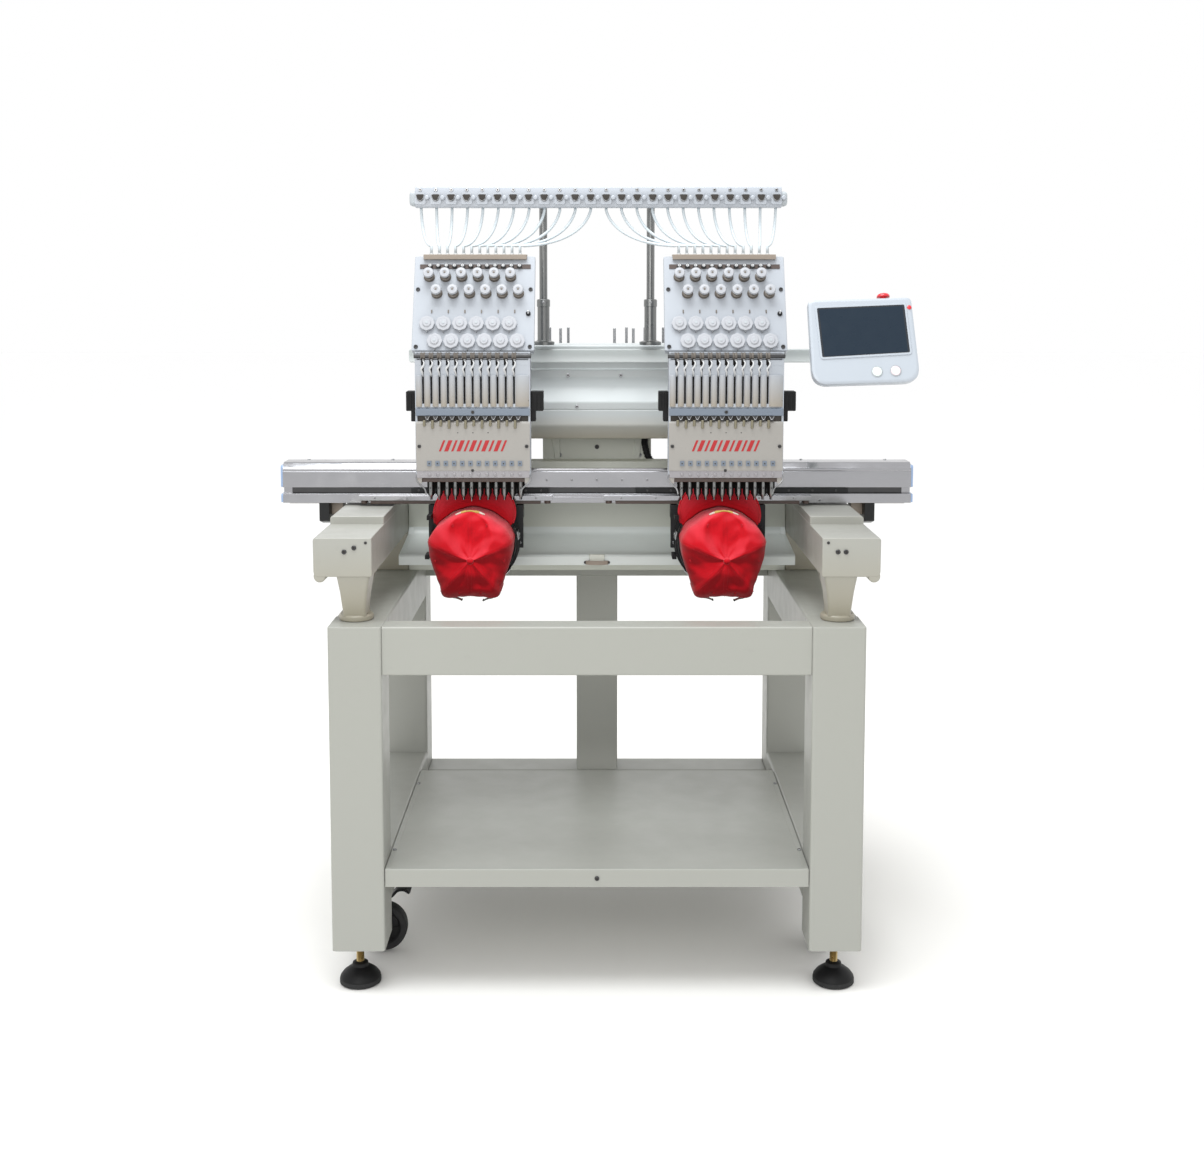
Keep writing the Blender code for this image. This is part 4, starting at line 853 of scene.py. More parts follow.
def thread_rail():
    low, top = RAIL_LOW, RAIL_TOP
    middle = (RAIL_LEFT + RAIL_RIGHT) / 2
    rail = Piece("white")
    outline = rounded([(0.3455, low), (0.3745, low), (0.3745, top), (0.3485, top), (0.3455, top - 0.01)],
        [0.004, 0.004, 0.003, 0.002, 0.004])
    rail.along_x(outline, (RAIL_LEFT + 0.012, RAIL_RIGHT - 0.012))
    finish(rail, "thread_rail_bar", node="thread_rail", edge=0.0008)
    ends = Piece("grey_plastic")
    for x in ((RAIL_LEFT, RAIL_LEFT + 0.013), (RAIL_RIGHT - 0.013, RAIL_RIGHT)):
        inward = 1 if x[0] < 0 else -1
        rings = []
        for share, shrink in ((0.0, 0.0045), (0.15, 0.0015), (0.45, 0.0), (1.0, 0.0)):
            px = (x[0] if inward > 0 else x[1]) + inward * share * 0.013
            box = rectangle((0.347 + shrink, 0.373 - shrink), (low + 0.003 + shrink, top - 0.009 - shrink))
            rings.append([at(px, d, z) for d, z in rounded(box, 0.008, 5)])
        ends.loft(rings)
    finish(ends, "thread_rail_ends")
    clips = Piece("ivory")
    for k in range(2 * NEEDLES):
        x = middle + (k - NEEDLES + 0.5) * THREAD_PITCH
        clips.use("white").along_d(rounded([(x - 0.0115, 1.4995), (x + 0.0115, 1.4995), (x + 0.0095, 1.5235),
            (x - 0.0095, 1.5235)], 0.005), (0.3425, 0.3465))
        clips.turn(mm("0 0, 4.6 0, 4.6 8.5, 3 10, 0 10"), at(x + 0.014, 0.3455, 1.5125), FRONT, 16)
        clips.use("shadow")
        cup = rounded([(x - 0.0088, 1.5195), (x + 0.0088, 1.5195), (x + 0.0045, 1.5055),
            (x - 0.0045, 1.5055)], 0.0042)
        clips.along_d(cup, (0.3412, 0.3428))
        clips.use("steel").tube(curve([at(x - 0.0085, 0.3415, 1.5185), at(x - 0.004, 0.3375, 1.508),
            at(x + 0.004, 0.3375, 1.508), at(x + 0.0085, 0.3415, 1.5185)], 4), 0.0007, 6)
        clips.screw(at(x, 0.3462, 1.5285), size=0.0036)
    finish(clips, "thread_rail_clips")


def thread_posts():
    for word, side in SIDES:
        x = side * 0.115
        post = Piece("post")
        foot = [(r, BEAM_TOP + z) for r, z in mm("0 0.4, 22.5 0.4, 23.5 2, 23.5 7, 14 10, 13 12")]
        post.turn(foot + mm("13 1290, 14.2 1291, 14.2 1304, 12.8 1306, 8.5 1307, 8.5 1518, 9.5 1518.5, "
            "9.5 1526.8, 8 1528, 0 1528"), at(x, 0.5, 0), UP, 32)
        post.rod(at(x, 0.5, 1.514), at(x, 0.3752, 1.514), 0.0064, 20)
        post.use("steel").turn(mm("8.5 -7, 13 -7, 13 7, 8.5 7"), at(x, 0.5, 1.514), UP, 20)
        post.turn(mm("6.4 0, 10.5 0, 10.5 6, 6.4 6"), at(x, 0.3754, 1.514), BACK, 20)
        post.screw(at(x, 0.487, 1.3), size=0.003)
        finish(post, f"thread_post_{word}_chrome", node=f"thread_post_{word}")


def spool_tray():
    tray = Piece("white")
    outline = rounded(mm("640.5 1130, 815 1130, 815 1142, 812 1142, 812 1133.5, 643.5 1133.5, 643.5 1142, "
        "640.5 1142"), 0.0008, 2)
    tray.along_x(outline, (-0.345, 0.345))
    for side in (-1, 1):
        tray.box(mirrored(side, 0.342, 0.345), (0.641, 0.8145), (1.1305, 1.1418))
    finish(tray, "spool_tray_sheet", node="spool_tray", edge=0.0005)
    pins = Piece("steel")
    for start, d, step in ((-0.083, 0.69, -1), (-0.067, 0.775, -1), (0.04, 0.69, 1), (0.069, 0.775, 1)):
        for k in range(NEEDLES // 2):
            x = start + step * k * 0.043
            pins.use("black").turn(mm("0 0, 16.5 0, 17 2.5, 16.5 5, 6 5.5, 4.5 10, 0 10"), at(x, d, 1.1335),
                UP, 24)
            pins.use("steel").rod(at(x, d, 1.136), at(x, d, 1.24), 0.0032, 12, 0.0012)
    finish(pins, "spool_pins")


# ---------------------------------------------------------------- beds and what is inside the machine

def beds():
    for word, centre in HEADS:
        bed = Piece("base")
        top = mm("35 800, 35 868, 31 875.5, 23 880")
        inner = mm("19 868, 30 862, 30 800")
        half = [*top, *[(-x, z) for x, z in reversed(top)]]
        hollow = [(-x, z) for x, z in reversed(inner)] + inner
        bed.along_d([(centre + x, z) for x, z in half + hollow], (0.21, 0.5706))
        bed.along_d([(centre + x, z) for x, z in half], (0.205, 0.2105))
        finish(bed, f"hook_arm_{word}_shell", node=f"hook_arm_{word}", edge=0.0005)
        plate = Piece("steel")
        outline = [(centre + 0.019 * sin(t), 0.238 - 0.024 * cos(t)) for t in circle(24)]
        plate.along_z(outline, (0.8795, 0.8812))
        plate.use("shadow").turn(mm("0 0, 2.2 0, 2.2 0.4, 0 0.4"), at(centre, 0.235, 0.8811), UP, 16)
        plate.screws(around(centre, 0.011), [0.252], [0.8811], UP, 0.0026)
        finish(plate, f"needle_plate_{word}")
        hook = Piece("steel")
        hook.turn(mm("0 222, 5 222, 6 224.5, 15.5 224.5, 18 222, 20.5 222.5, 21.8 226, 21.8 238, 20.5 240, "
            "21.8 242, 21.8 246, 12 252, 4.5 254, 4.5 583.5, 14 585, 9.2 594, 0 594"),
            Vector((centre, FRONT_Y, 0.835)), BACK, 32)
        hook.use("chrome").strip([at(centre + 0.0212 * sin(t), 0.231, 0.835 + 0.0212 * cos(t))
            for t in sweep(20, 12, 9)], BACK, 0.005, 0.0012)
        finish(hook, f"rotary_hook_{word}_detail", f"rotary_hook_{word}", f"rotary_hook_{word}")


def inner_drive():
    for node, look in (("upper_shaft", "steel"), ("lower_shaft", "steel"), ("drive_belt", "rubber"),
            ("main_motor", "black_metal")):
        carry(node, M[look])


# ---------------------------------------------------------------- sewing heads

def needle_row(centre, shift=NEEDLE_SHIFT):
    """The places across of twelve needles, levers or tubes."""
    return [centre + shift + (k - (NEEDLES - 1) / 2) * PITCH for k in range(NEEDLES)]


def head_castings():
    for word, centre in HEADS:
        head = Piece("white")
        outline = rounded(mm("262.2 1005, 282 985, 452 985, 479.6 1012, 479.6 1199, 262.2 1199"),
            [0.006, 0.008, 0.01, 0.01, 0.006, 0.004])
        head.along_x(outline, around(centre, 0.0845))
        finish(head, f"head_{word}_casting", node=f"head_{word}", edge=0.003)
        trim = Piece("white")
        for side in (-1, 1):
            cover = rounded(mm("300 1020, 440 1020, 455 1050, 455 1165, 300 1165"), 0.012)
            trim.along_x(cover, sorted((centre + side * 0.0842, centre + side * 0.0862)))
            for d, z in ((0.31, 1.032), (0.31, 1.153), (0.443, 1.153), (0.434, 1.034)):
                trim.screw(at(centre + side * 0.0862, d, z), (side, 0, 0), 0.004)
            trim.use("white")
        trim.use("dark_steel")
        for z in (1.003, 1.188):
            trim.box(around(centre, 0.08), (0.2585, 0.2625), around(z, 0.0045))
        finish(trim, f"head_{word}_covers")


def case_shell(centre):
    """The cast front of the needle case, with twelve slots for the levers."""
    shell = Piece("white")
    left, right = centre - 0.1135, centre + 0.1135
    slots = needle_row(centre - CASE_SHIFT, SLOT_SHIFT)
    xs = [left]
    for x in slots:
        xs += [x - 0.0019, x + 0.0019]
    xs.append(right)
    shell.grid(xs, [1.0945, 1.102, 1.178], {(2 * k + 1, 1) for k in range(NEEDLES)}, (0.2165, 0.226))
    tops = [left, *(x + reach for x in slots for reach in (-0.0036, 0.0036)), right]
    shell.grid(tops, [1.178, 1.1885], {(2 * k + 1, 0) for k in range(NEEDLES)}, (0.2165, 0.226))
    for x in (left, right):
        side = sorted((x, x + (0.004 if x < centre else -0.004)))
        shell.box(side, (0.2172, 0.2575), (0.956, 1.2045))
    shell.box((left + 0.003, right - 0.003), (0.22, 0.2255), (1.1895, 1.2046))
    shell.use("shadow").box((left + 0.003, right - 0.003), (0.2306, 0.233), (1.08, 1.196))
    return shell, slots


def case_columns(centre, slots):
    """Rounded columns that stand between the slots."""
    piece = Piece("column")
    edges = [centre - 0.113, *slots, centre + 0.113]
    for k, (a, b) in enumerate(zip(edges, edges[1:])):
        low = a + (0.0021 if k else 0.001)
        high = b - (0.0021 if k < NEEDLES else 0.001)
        middle, half = (low + high) / 2, (high - low) / 2
        arc = [(middle + half * sin(t), 0.2172 - 0.0042 * cos(t)) for t in sweep(-90, 15, 13)]
        piece.along_z([*arc, (high, 0.2185), (low, 0.2185)], (1.0965, 1.159))
    return piece


def case_trim(centre):
    """Covers, strips and clips on the case's front, from the roller down to the acrylic guard."""
    piece = Piece("dark_steel")
    left, right = centre - 0.1135, centre + 0.1135
    bank = centre - CASE_SHIFT
    piece.rod(at(left - 0.002, 0.2185, 1.1965), at(right + 0.002, 0.2185, 1.1965), 0.0048, 16)
    for k, (x, needle) in enumerate(zip(needle_row(bank, SLOT_SHIFT), needle_row(bank))):
        piece.use("roller").turn(mm("3 -4.5, 6.6 -4.5, 7.4 -3, 5.8 0, 7.4 3, 6.6 4.5, 3 4.5"),
            at(x, 0.2195, 1.1965), RIGHT, 20)
        piece.use("dark_steel").box(around(x + PITCH / 2, 0.0036), (0.2125, 0.22), (1.069, 1.078))
        piece.use("steel").tube(curve([at(x + PITCH / 2 - 0.0045, 0.2135, 1.0775),
            at(x + PITCH / 2, 0.2115, 1.0712), at(x + PITCH / 2 + 0.0045, 0.2135, 1.0775)], 3), 0.0009, 6)
        piece.use("olive")
        stub = 1.0535 if k % 2 else 1.058
        piece.rod(at(x + 0.002, 0.2125, stub), at(x + 0.002, 0.2125, 1.07), 0.0027, 10)
        piece.use("blue_grey").box(around(needle, 0.0042), (0.2125, 0.218), (0.979, 0.989))
        piece.use("shadow").turn(mm("0 0, 1.4 0, 1.4 1, 0 1"), at(needle, 0.2126, 0.984), FRONT, 12)
    piece.use("blue_grey").along_x(rectangle((0.214, 0.22), (1.0785, 1.0935), 0.0015),
        (left + 0.001, right - 0.001))
    piece.use("shadow").box((left + 0.003, right - 0.003), (0.22, 0.226), (1.066, 1.08))
    piece.use("acrylic").along_x(rounded(mm("215 955, 221 955, 221 977.5, 216.5 977.5"), 0.001),
        (left + 0.002, right - 0.002))
    for x in needle_row(bank):
        piece.turn(mm("0 0, 3.6 0, 3 1.6, 0 2.2"), at(x, 0.2156, 0.962), FRONT, 14)
    piece.use("dark_brown").along_x(rectangle((0.219, 0.233), (0.9465, 0.9545), 0.001),
        (left + 0.004, right - 0.004))
    for side in (-1, 1):
        for x, z, d, size in ((0.1075, 1.1085, 0.2165, 0.003), (0.106, 1.018, 0.215, 0.0036)):
            piece.screw(at(centre + side * x, d, z), size=size, paint="dark_steel")
    piece.screw(at(centre, 0.214, 1.086), size=0.0034, paint="dark_steel")
    piece.screw(at(centre - 0.001, 0.2155, 0.97), size=0.003, paint="dark_steel")
    for side in (-1, 1):
        piece.use("steel")
        x = centre + side * 0.112
        bends = mm("0 218 962, 1 217 952, -6 217 942, -15 219 933, -18 221 922")
        piece.tube(curve([at(x + side * aside, d, z) for aside, d, z in bends], 5), 0.0016, 8)
        piece.use("cover").along_d(rectangle(sorted((x, x - side * 0.01)), (0.944, 0.958), 0.002),
            (0.217, 0.223))
    return piece


def lower_cover(centre):
    """The plain cover below the levers, with a generic row of red bars."""
    cover = Piece("cover")
    cover.along_x(rounded(mm("215.2 969, 221.5 969, 221.5 1067.5, 217.8 1067.5, 215.2 1064"),
        [0.001, 0, 0, 0.001, 0.002]), around(centre, 0.1125))
    cover.use("red_mark")
    count, low, high, lean = 11, 1.008, 1.03, 0.0045
    for k in range(count):
        x = centre + (k - (count - 1) / 2) * 0.0122
        half = 0.004 if k % 2 else 0.0022
        bar = [(x - half - lean, low), (x + half - lean, low), (x + half + lean, high),
            (x - half + lean, high)]
        cover.along_d(bar, (0.2148, 0.2156))
    cover.use("dark_steel")
    for k in range(3):
        x = centre + (k - 1) * 0.03
        cover.turn(mm("0 0, 1.3 0, 1.3 0.6, 0 0.6"), at(x, 0.2156, 1.045), FRONT, 10)
    return cover


def lever_shape(piece, x):
    """A take-up lever: an S-bent flat finger that comes out of its slot."""
    bends = mm("0 225 1156, 0 218.5 1157.2, -0.4 211 1164, -2.4 208.5 1170.8, 2 208 1177.5, "
        "3.2 209.5 1183, 1.2 212.5 1187")
    route = curve([at(x + aside, d, z) for aside, d, z in bends], 4)
    piece.use("ivory").tube(route, [0.0012 + 0.0008 * sin(pi * k / len(route)) ** 2
        for k in range(len(route))], 8)
    piece.use("steel")
    tip = route[-1]
    piece.turn(mm("1 -0.8, 2.1 -0.8, 2.1 0.8, 1 0.8"), tip + Vector((0, 0, 0.0016)), (0, 1, 0.2), 14)


def side_blocks(centre):
    """Black end blocks of the rail that the case slides on."""
    piece = Piece("black")
    for side in (-1, 1):
        near, far = (0.1135, 0.139) if side > 0 else (0.1135, 0.133)
        face = rectangle((centre + side * near, centre + side * far), (1.087, 1.126), 0.0022)
        piece.along_d(face, (0.228, 0.257))
        tab = rectangle((centre + side * near, centre + side * (near + 0.01)), (1.066, 1.09), 0.002)
        piece.along_d(tab, (0.23, 0.256))
        for k in range(3):
            x = centre + side * (near + 0.0045 + (far - near - 0.009) * k / 2)
            piece.along_d(rectangle(around(x, 0.0014), (1.091, 1.122), 0.001), (0.2262, 0.229))
    return piece


SLOPE_LOW, SLOPE_HIGH = Vector((0.225, 1.2055)), Vector((0.305, 1.395))
SLOPE_WAY = (SLOPE_HIGH - SLOPE_LOW).normalized()


def panel_point(share, out, x):
    """A point on the sloping tension panel: share up the slope and out from its face."""
    spot = SLOPE_LOW + (SLOPE_HIGH - SLOPE_LOW) * share + out * Vector((-SLOPE_WAY.y, SLOPE_WAY.x))
    return at(x, spot.x, spot.y)


def slope_slab(piece, outline, outs, centre):
    """Extrude an (x, share) outline square to the sloping panel."""
    piece.loft([[panel_point(share, out, centre + x) for x, share in outline] for out in outs])


def tension_plate(centre):
    plate = Piece("white")
    outline = rectangle((-0.121, 0.121), (0.006, 0.992), [0.006, 0.006, 0.01, 0.01], 6)
    slope_slab(plate, outline, (-0.018, 0.0), centre)
    return plate


def tension_details(centre):
    """Knobs, wheels, guides, ticks, toggle and screws of the tension panel."""
    axis, across = Vector((0, -SLOPE_WAY.y, SLOPE_WAY.x)), Vector(RIGHT)
    up = axis.cross(across)
    piece = Piece("ivory")
    for share, offset in ((0.77, -0.5), (0.595, 0.5)):
        for k in range(NEEDLES // 2):
            x = centre - 0.001 + (2 * k - 5 + offset) * PITCH
            base = panel_point(share, 0.0, x)
            piece.use("roller").turn(mm("0 0, 10.6 0, 11.2 1.2, 10.6 2.2, 3.5 2.6, 3.5 5, 10 5.4, 10.4 6.2, "
                "9 7.6, 6.2 8, 6.2 19, 0 19"), base, axis, 28)
            piece.use("steel")
            spring = [base + axis * (0.0084 + 0.00052 * n)
                + 0.0068 * (cos(n * 1.1) * across + sin(n * 1.1) * up) for n in range(20)]
            piece.tube(spring, 0.0006, 5)
            piece.use("knob").turn(mm("0 18.8, 8.4 18.8, 10 19.6, 10.6 21, 10.6 24.8, 9.6 26.2, 4.4 26.7, "
                "3.8 25.7, 0 25.7"), base, axis, 32)
            piece.use("roller").turn(mm("0 25.2, 2.4 25.2, 2.2 26.5, 0 26.7"), base, axis, 16)
            piece.use("grey_plastic")
            for spin in circle(12):
                rib = base + axis * 0.0216 + 0.0105 * (cos(spin) * across + sin(spin) * up)
                piece.rod(rib, rib + axis * 0.0026, 0.0007, 6, 0.0002)
    for share, offset in ((0.275, -0.5), (0.095, 0.5)):
        for k in range(NEEDLES // 2):
            x = centre - 0.002 + (2 * k - 5 + offset) * PITCH
            wheel(piece, panel_point(share, 0.0, x), axis)
    for x in needle_row(centre, 0):
        base = panel_point(0.88, 0.0, x)
        piece.use("dark_steel").turn(mm("0 0, 4.8 0, 5.2 2, 3.6 4.6, 4.8 7, 0 7.6"), base, axis, 18)
        piece.use("ivory").turn(mm("1.2 7.4, 3 7.4, 3 8.8, 1.2 8.8"), base, axis, 16)
    piece.use("dark_brown")
    bar = rectangle((-0.11, 0.112), (0.858, 0.902))
    slope_slab(piece, bar, (-0.001, 0.0016), centre)
    piece.use("roller")
    for k in range(6):
        tick = rectangle(around(centre + (k - 2.5) * 0.033 - 0.001, 0.0012), (0.392, 0.425))
        slope_slab(piece, tick, (-0.0005, 0.0018), 0)
    toggle = panel_point(0.385, 0.0, centre + 0.1085)
    piece.use("black").turn(mm("0 0, 4.8 0, 4.8 3, 3 4, 0 4"), toggle, axis, 18)
    piece.use("ivory").rod(toggle + axis * 0.003, toggle + axis * 0.01 + Vector((0, 0, 0.003)), 0.0018, 10)
    for share in (0.64, 0.045):
        for side in (-1, 1):
            piece.screw(panel_point(share, 0.0, centre + side * 0.1125), axis, 0.0042, "dark_steel")
    return piece


def wheel(piece, base, axis):
    """A scalloped thread-break wheel with its hub and its guide pin."""
    up = axis.cross(Vector(RIGHT))
    rings = []
    for out, size in ((0.003, 0.0138), (0.004, 0.015), (0.0078, 0.015), (0.0088, 0.0136)):
        ring = []
        for spin in circle(40):
            radius = size * (1 + 0.03 * cos(spin * 8))
            ring.append(base + axis * out + radius * (cos(spin) * Vector(RIGHT) + sin(spin) * up))
        rings.append(ring)
    piece.use("knob").loft(rings)
    piece.turn(mm("0 0, 8.4 0, 8.4 10, 7 11.4, 0 11.6"), base, axis, 24)
    piece.use("grey_plastic").turn(mm("0 11.4, 2.6 11.4, 2.6 12.4, 0 12.6"), base, axis, 12)
    piece.use("steel")
    pin = base + up * -0.0172
    piece.rod(pin, pin + axis * 0.0062, 0.0012, 8)


def comb(centre):
    """The brown guide comb on top of the tension panel, with its twelve tube stubs."""
    piece = Piece("brown")
    piece.along_x(rectangle((0.2935, 0.327), (1.3868, 1.397), 0.0012), around(centre + 0.0005, 0.1035))
    piece.use("ivory")
    for x in needle_row(centre, 0):
        piece.turn(mm("0 1396, 4.4 1396, 4.4 1398.5, 3.6 1400, 0 1400"), at(x, 0.318, 0), UP, 14)
    piece.use("white")
    for side in (-1, 1):
        piece.box(around(centre + side * 0.085, 0.006), (0.318, 0.3215), (1.366, 1.39))
    return piece


def thread_tubes(word, centre):
    """Twelve tubes that bend between the fixed rail and the sliding comb."""
    first = 0 if word == "left" else NEEDLES
    middle = (RAIL_LEFT + RAIL_RIGHT) / 2
    piece = Piece("nylon")
    for k, end_x in enumerate(needle_row(centre, 0)):
        top_x = middle + (first + k - NEEDLES + 0.5) * THREAD_PITCH
        lean = top_x - end_x
        top = Vector((top_x, 0.36, RAIL_LOW - 0.005))
        high = Vector((top_x - 0.1 * lean, 0.358, top.z - 0.05))
        low = Vector((end_x + 0.46 * lean, 0.324, 1.415))
        end = Vector((end_x, 0.318, 1.4145))
        points = [at(top_x, 0.36, RAIL_LOW + 0.001)]
        for n in range(25):
            t = n / 24
            p = ((1 - t) ** 3 * top + 3 * t * (1 - t) ** 2 * high + 3 * t * t * (1 - t) * low + t ** 3 * end)
            points.append(at(*p))
        points.append(at(end_x, 0.318, 1.3975))
        piece.tube(points, 0.0029, 10)
    obj = to_object(piece.bm, piece.paints, f"thread_tubes_{word}_bent")
    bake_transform(obj)
    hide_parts(f"thread_tubes_{word}")


def needle_clamp(piece, x, active=False):
    """A needle bar's lower end: bar, clamp, screw, presser tube and needle."""
    piece.use("steel").rod(at(x, 0.235, 0.948), at(x, 0.235, 1.0715), 0.0025, 12)
    piece.use("post").turn(mm("0 913, 1.2 913, 2.8 917.5, 3.6 921.5, 3.7 942, 3 947, 0 947"), at(x, 0.235, 0),
        UP, 16)
    piece.use("dark_steel").turn(mm("0 0, 1.7 0, 1.7 3, 0 3"), at(x, 0.2315, 0.933), FRONT, 10)
    piece.use("steel").rod(at(x, 0.235, 0.9056 if active else 0.9085), at(x, 0.235, 0.915), 0.0007, 8, 0.0003)


def presser_feet(centre):
    """Shadowed bodies of the presser feet behind the needle clamps."""
    piece = Piece("gap")
    piece.box(around(centre + NEEDLE_SHIFT, 0.0975), (0.245, 0.249), (0.93, 0.96))
    for x in needle_row(centre):
        piece.along_d(rounded([(x - 0.0074, 0.956), (x + 0.0074, 0.956), (x + 0.0066, 0.92),
            (x + 0.0026, 0.913), (x - 0.0026, 0.913), (x - 0.0066, 0.92)], 0.001), (0.243, 0.248))
        piece.strip([at(x, 0.2455, 0.916), at(x, 0.244, 0.9105), at(x, 0.2396, 0.909)], RIGHT, 0.005, 0.0012)
    return piece


def sewing_heads():
    for word, head in HEADS:
        body = f"needle_case_{word}"
        centre = head + CASE_SHIFT
        shell, slots = case_shell(centre)
        finish(shell, f"{body}_shell", body, f"needle_case_{word}", edge=0.0004)
        finish(case_columns(centre, slots), f"{body}_columns", body, edge=0.0006)
        finish(case_trim(centre), f"{body}_trim", body)
        finish(lower_cover(centre), f"{body}_cover", body, edge=0.0003)
        finish(side_blocks(centre), f"{body}_end_blocks", body, edge=0.0005)
        finish(tension_plate(centre), f"tension_plate_{word}", body, f"tension_panel_{word}",
            edge=0.0012)
        finish(tension_details(centre), f"tension_details_{word}", body)
        finish(comb(centre), f"thread_comb_{word}", body, edge=0.0003)
        thread_tubes(word, centre)
        idle = Piece("ivory")
        bank = Piece("steel")
        for k, needle in enumerate(needle_row(head)):
            if k != ACTIVE:
                lever_shape(idle, slots[k])
                needle_clamp(bank, needle)
        finish(idle, f"idle_levers_{word}", body)
        bank.use("steel")
        for z in (0.962, 1.07):
            bank.box(around(head + NEEDLE_SHIFT, 0.0995), (0.2285, 0.2455), around(z, 0.003))
        finish(bank, f"needle_bank_{word}_bars", body, f"needle_bank_{word}")
        finish(presser_feet(head), f"presser_feet_{word}", body)
        bar, node = Piece("steel"), f"needle_bar_{word}"
        needle_clamp(bar, head, True)
        finish(bar, f"{node}_detail", node, node)
        lever, node = Piece("ivory"), f"take_up_lever_{word}"
        lever_shape(lever, slots[ACTIVE])
        finish(lever, f"{node}_finger", node, node)


# ---------------------------------------------------------------- pantograph

def cross_beam():
    body = "pantograph_beam"
    beam = Piece("aluminium")
    outline = rounded(mm("350 886, 425 886, 425 966, 413 970, 364 970, 350 958, 350 954, 350.8 953.5, "
        "350.8 951.5, 350 951, 350 918.5, 362 918.5, 362 905.5, 350 905.5"), [0.001, 0.002, 0.002, 0.003,
        0.004, 0.002, 0, 0, 0, 0, 0.0008, 0.001, 0.001, 0.0008], 3)
    beam.along_x(outline, (-XBEAM_HALF + 0.004, XBEAM_HALF - 0.004))
    finish(beam, "cross_beam_extrusion", body, "x_beam", edge=0.0004)
    # Painted reflection: a thin dark olive band over the beam's top and front chamfer, as wide as the upper
    # beam above. It stands in for that beam's reflection in the aluminium.
    cover = Piece("beam_reflection")
    cover.along_x(mm("412.5 970.2, 412.5 971.2, 363.6 971.2, 349.4 959, 350 958.4, 364 970.2"),
        (-0.355, 0.365))
    finish(cover, "cross_beam_reflection", body)
    trim = Piece("aluminium_end")
    for side in (-1, 1):
        for low, high in ((0.919, 0.964), (0.887, 0.9045)):
            plate = rectangle((0.3515, 0.4235), (low, high), 0.003)
            trim.along_x(plate, mirrored(side, XBEAM_HALF - 0.0045, XBEAM_HALF))
    trim.use("dark_steel").box((-XBEAM_HALF + 0.022, XBEAM_HALF - 0.022), (0.358, 0.3635), (0.9065, 0.9175))
    for side in (-1, 1):
        reach = mirrored(side, 0.385, 0.1) if side < 0 else mirrored(side, 0.08, 0.52)
        trim.use("black_metal").along_x(rectangle((0.3496, 0.358), (0.907, 0.9172), 0.001), reach)
        for k in range(9):
            x = reach[0] + (k + 0.5) * (reach[1] - reach[0]) / 9
            trim.screw(at(x, 0.3496, 0.912), size=0.0024, paint="dark_steel")
    trim.screws((-0.607, -0.43, 0.43, 0.607), [0.408], [0.9698], UP, 0.003)
    trim.screws((-0.345, 0.345), [0.35], [0.933], size=0.0034)
    trim.screws((-0.462, 0.462), [0.35], [0.892], size=0.003)
    trim.screws([k * 0.052 for k in range(-2, 3)], [0.35], [0.934], size=0.0026)
    finish(trim, "cross_beam_trim", body)
    brackets = Piece("black_metal")
    for side in (-1, 1):
        leg = mm("354 887, 419 887, 419 838, 392 838, 354 847.5")
        brackets.along_x(rounded(leg, 0.003), mirrored(side, 0.556, 0.577))
        brackets.use("olive").box(mirrored(side, 0.577, 0.64), (0.362, 0.415), (0.8835, 0.8866))
        brackets.screw(at(side * 0.605, 0.385, 0.8835), (0, 0, -1), 0.005, "black")
        brackets.use("brown").box(mirrored(side, 0.532, 0.556), (0.38, 0.417), (0.858, 0.8866))
        brackets.use("black_metal")
    finish(brackets, "cross_beam_brackets", body, edge=0.0006)
    holders = Piece("black_metal")
    for _, centre in HEADS:
        holder_plate(holders, centre)
    finish(holders, "cap_driver_holders", body, edge=0.0004)


def holder_plate(piece, centre):
    """The plate behind a cap driver, with the hole that the driver turns in and its struts."""
    bore, low, high = 0.0792, 0.795, 0.884
    half = 0.0976
    reach = [math.asin(min(1.0, (z - CAP_Z) / bore)) for z in (low, high - 0.006)]
    arc = []
    for n in range(17):
        angle = reach[0] + (reach[1] - reach[0]) * n / 16
        arc.append((bore * cos(angle), CAP_Z + bore * sin(angle)))
    for side in (-1, 1):
        outline = [(centre + side * x, z) for x, z in [(arc[0][0], low), (half, low), (half, high),
            (arc[-1][0], high), *reversed(arc)]]
        piece.along_d(outline, (0.3335, 0.346))
        strut = centre + side * 0.09
        piece.box(around(strut, 0.0065), (0.342, 0.4), (0.851, 0.8825))
        piece.box(around(strut, 0.0058), (0.354, 0.398), (0.86, 0.8865))
        piece.screw(at(centre + side * 0.0905, 0.3335, 0.806), size=0.0036)
        piece.use("black_metal")
    piece.box(around(centre, 0.036), (0.3335, 0.346), (0.8795, 0.884))


def carriage():
    bar = Piece("aluminium")
    for x in ((-0.4915, -0.0925), (0.0144, 0.442)):
        bar.along_x(rectangle((0.3345, 0.3496), (0.8925, 0.9038), 0.0012), x)
        bar.use("dark_brown")
        left, right = x
        bar.along_x(rectangle((0.336, 0.349), (0.8858, 0.8926), 0.001), (left + 0.024, right - 0.024))
        for end in (left + 0.01, right - 0.01):
            bar.rod(at(end, 0.3425, 0.8862), at(end, 0.3425, 0.8928), 0.0066, 16)
        bar.use("aluminium")
        for k in range(6):
            px = left + (k + 0.5) * (right - left) / 6
            bar.screw(at(px, 0.3345, 0.8985), size=0.0022)
            bar.use("aluminium")
    bar.box((-0.1125, 0.0344), (0.3424, 0.3485), (0.8902, 0.8988))
    finish(bar, "carriage_bars", "x_carriage", "x_carriage")


# ---------------------------------------------------------------- caps and their drivers

SEAMS = (-142, -76, 0, 76, 142, 180)
BUTTON = Vector((0.003, 0.151, 0.8))
CAP_END = 0.2845


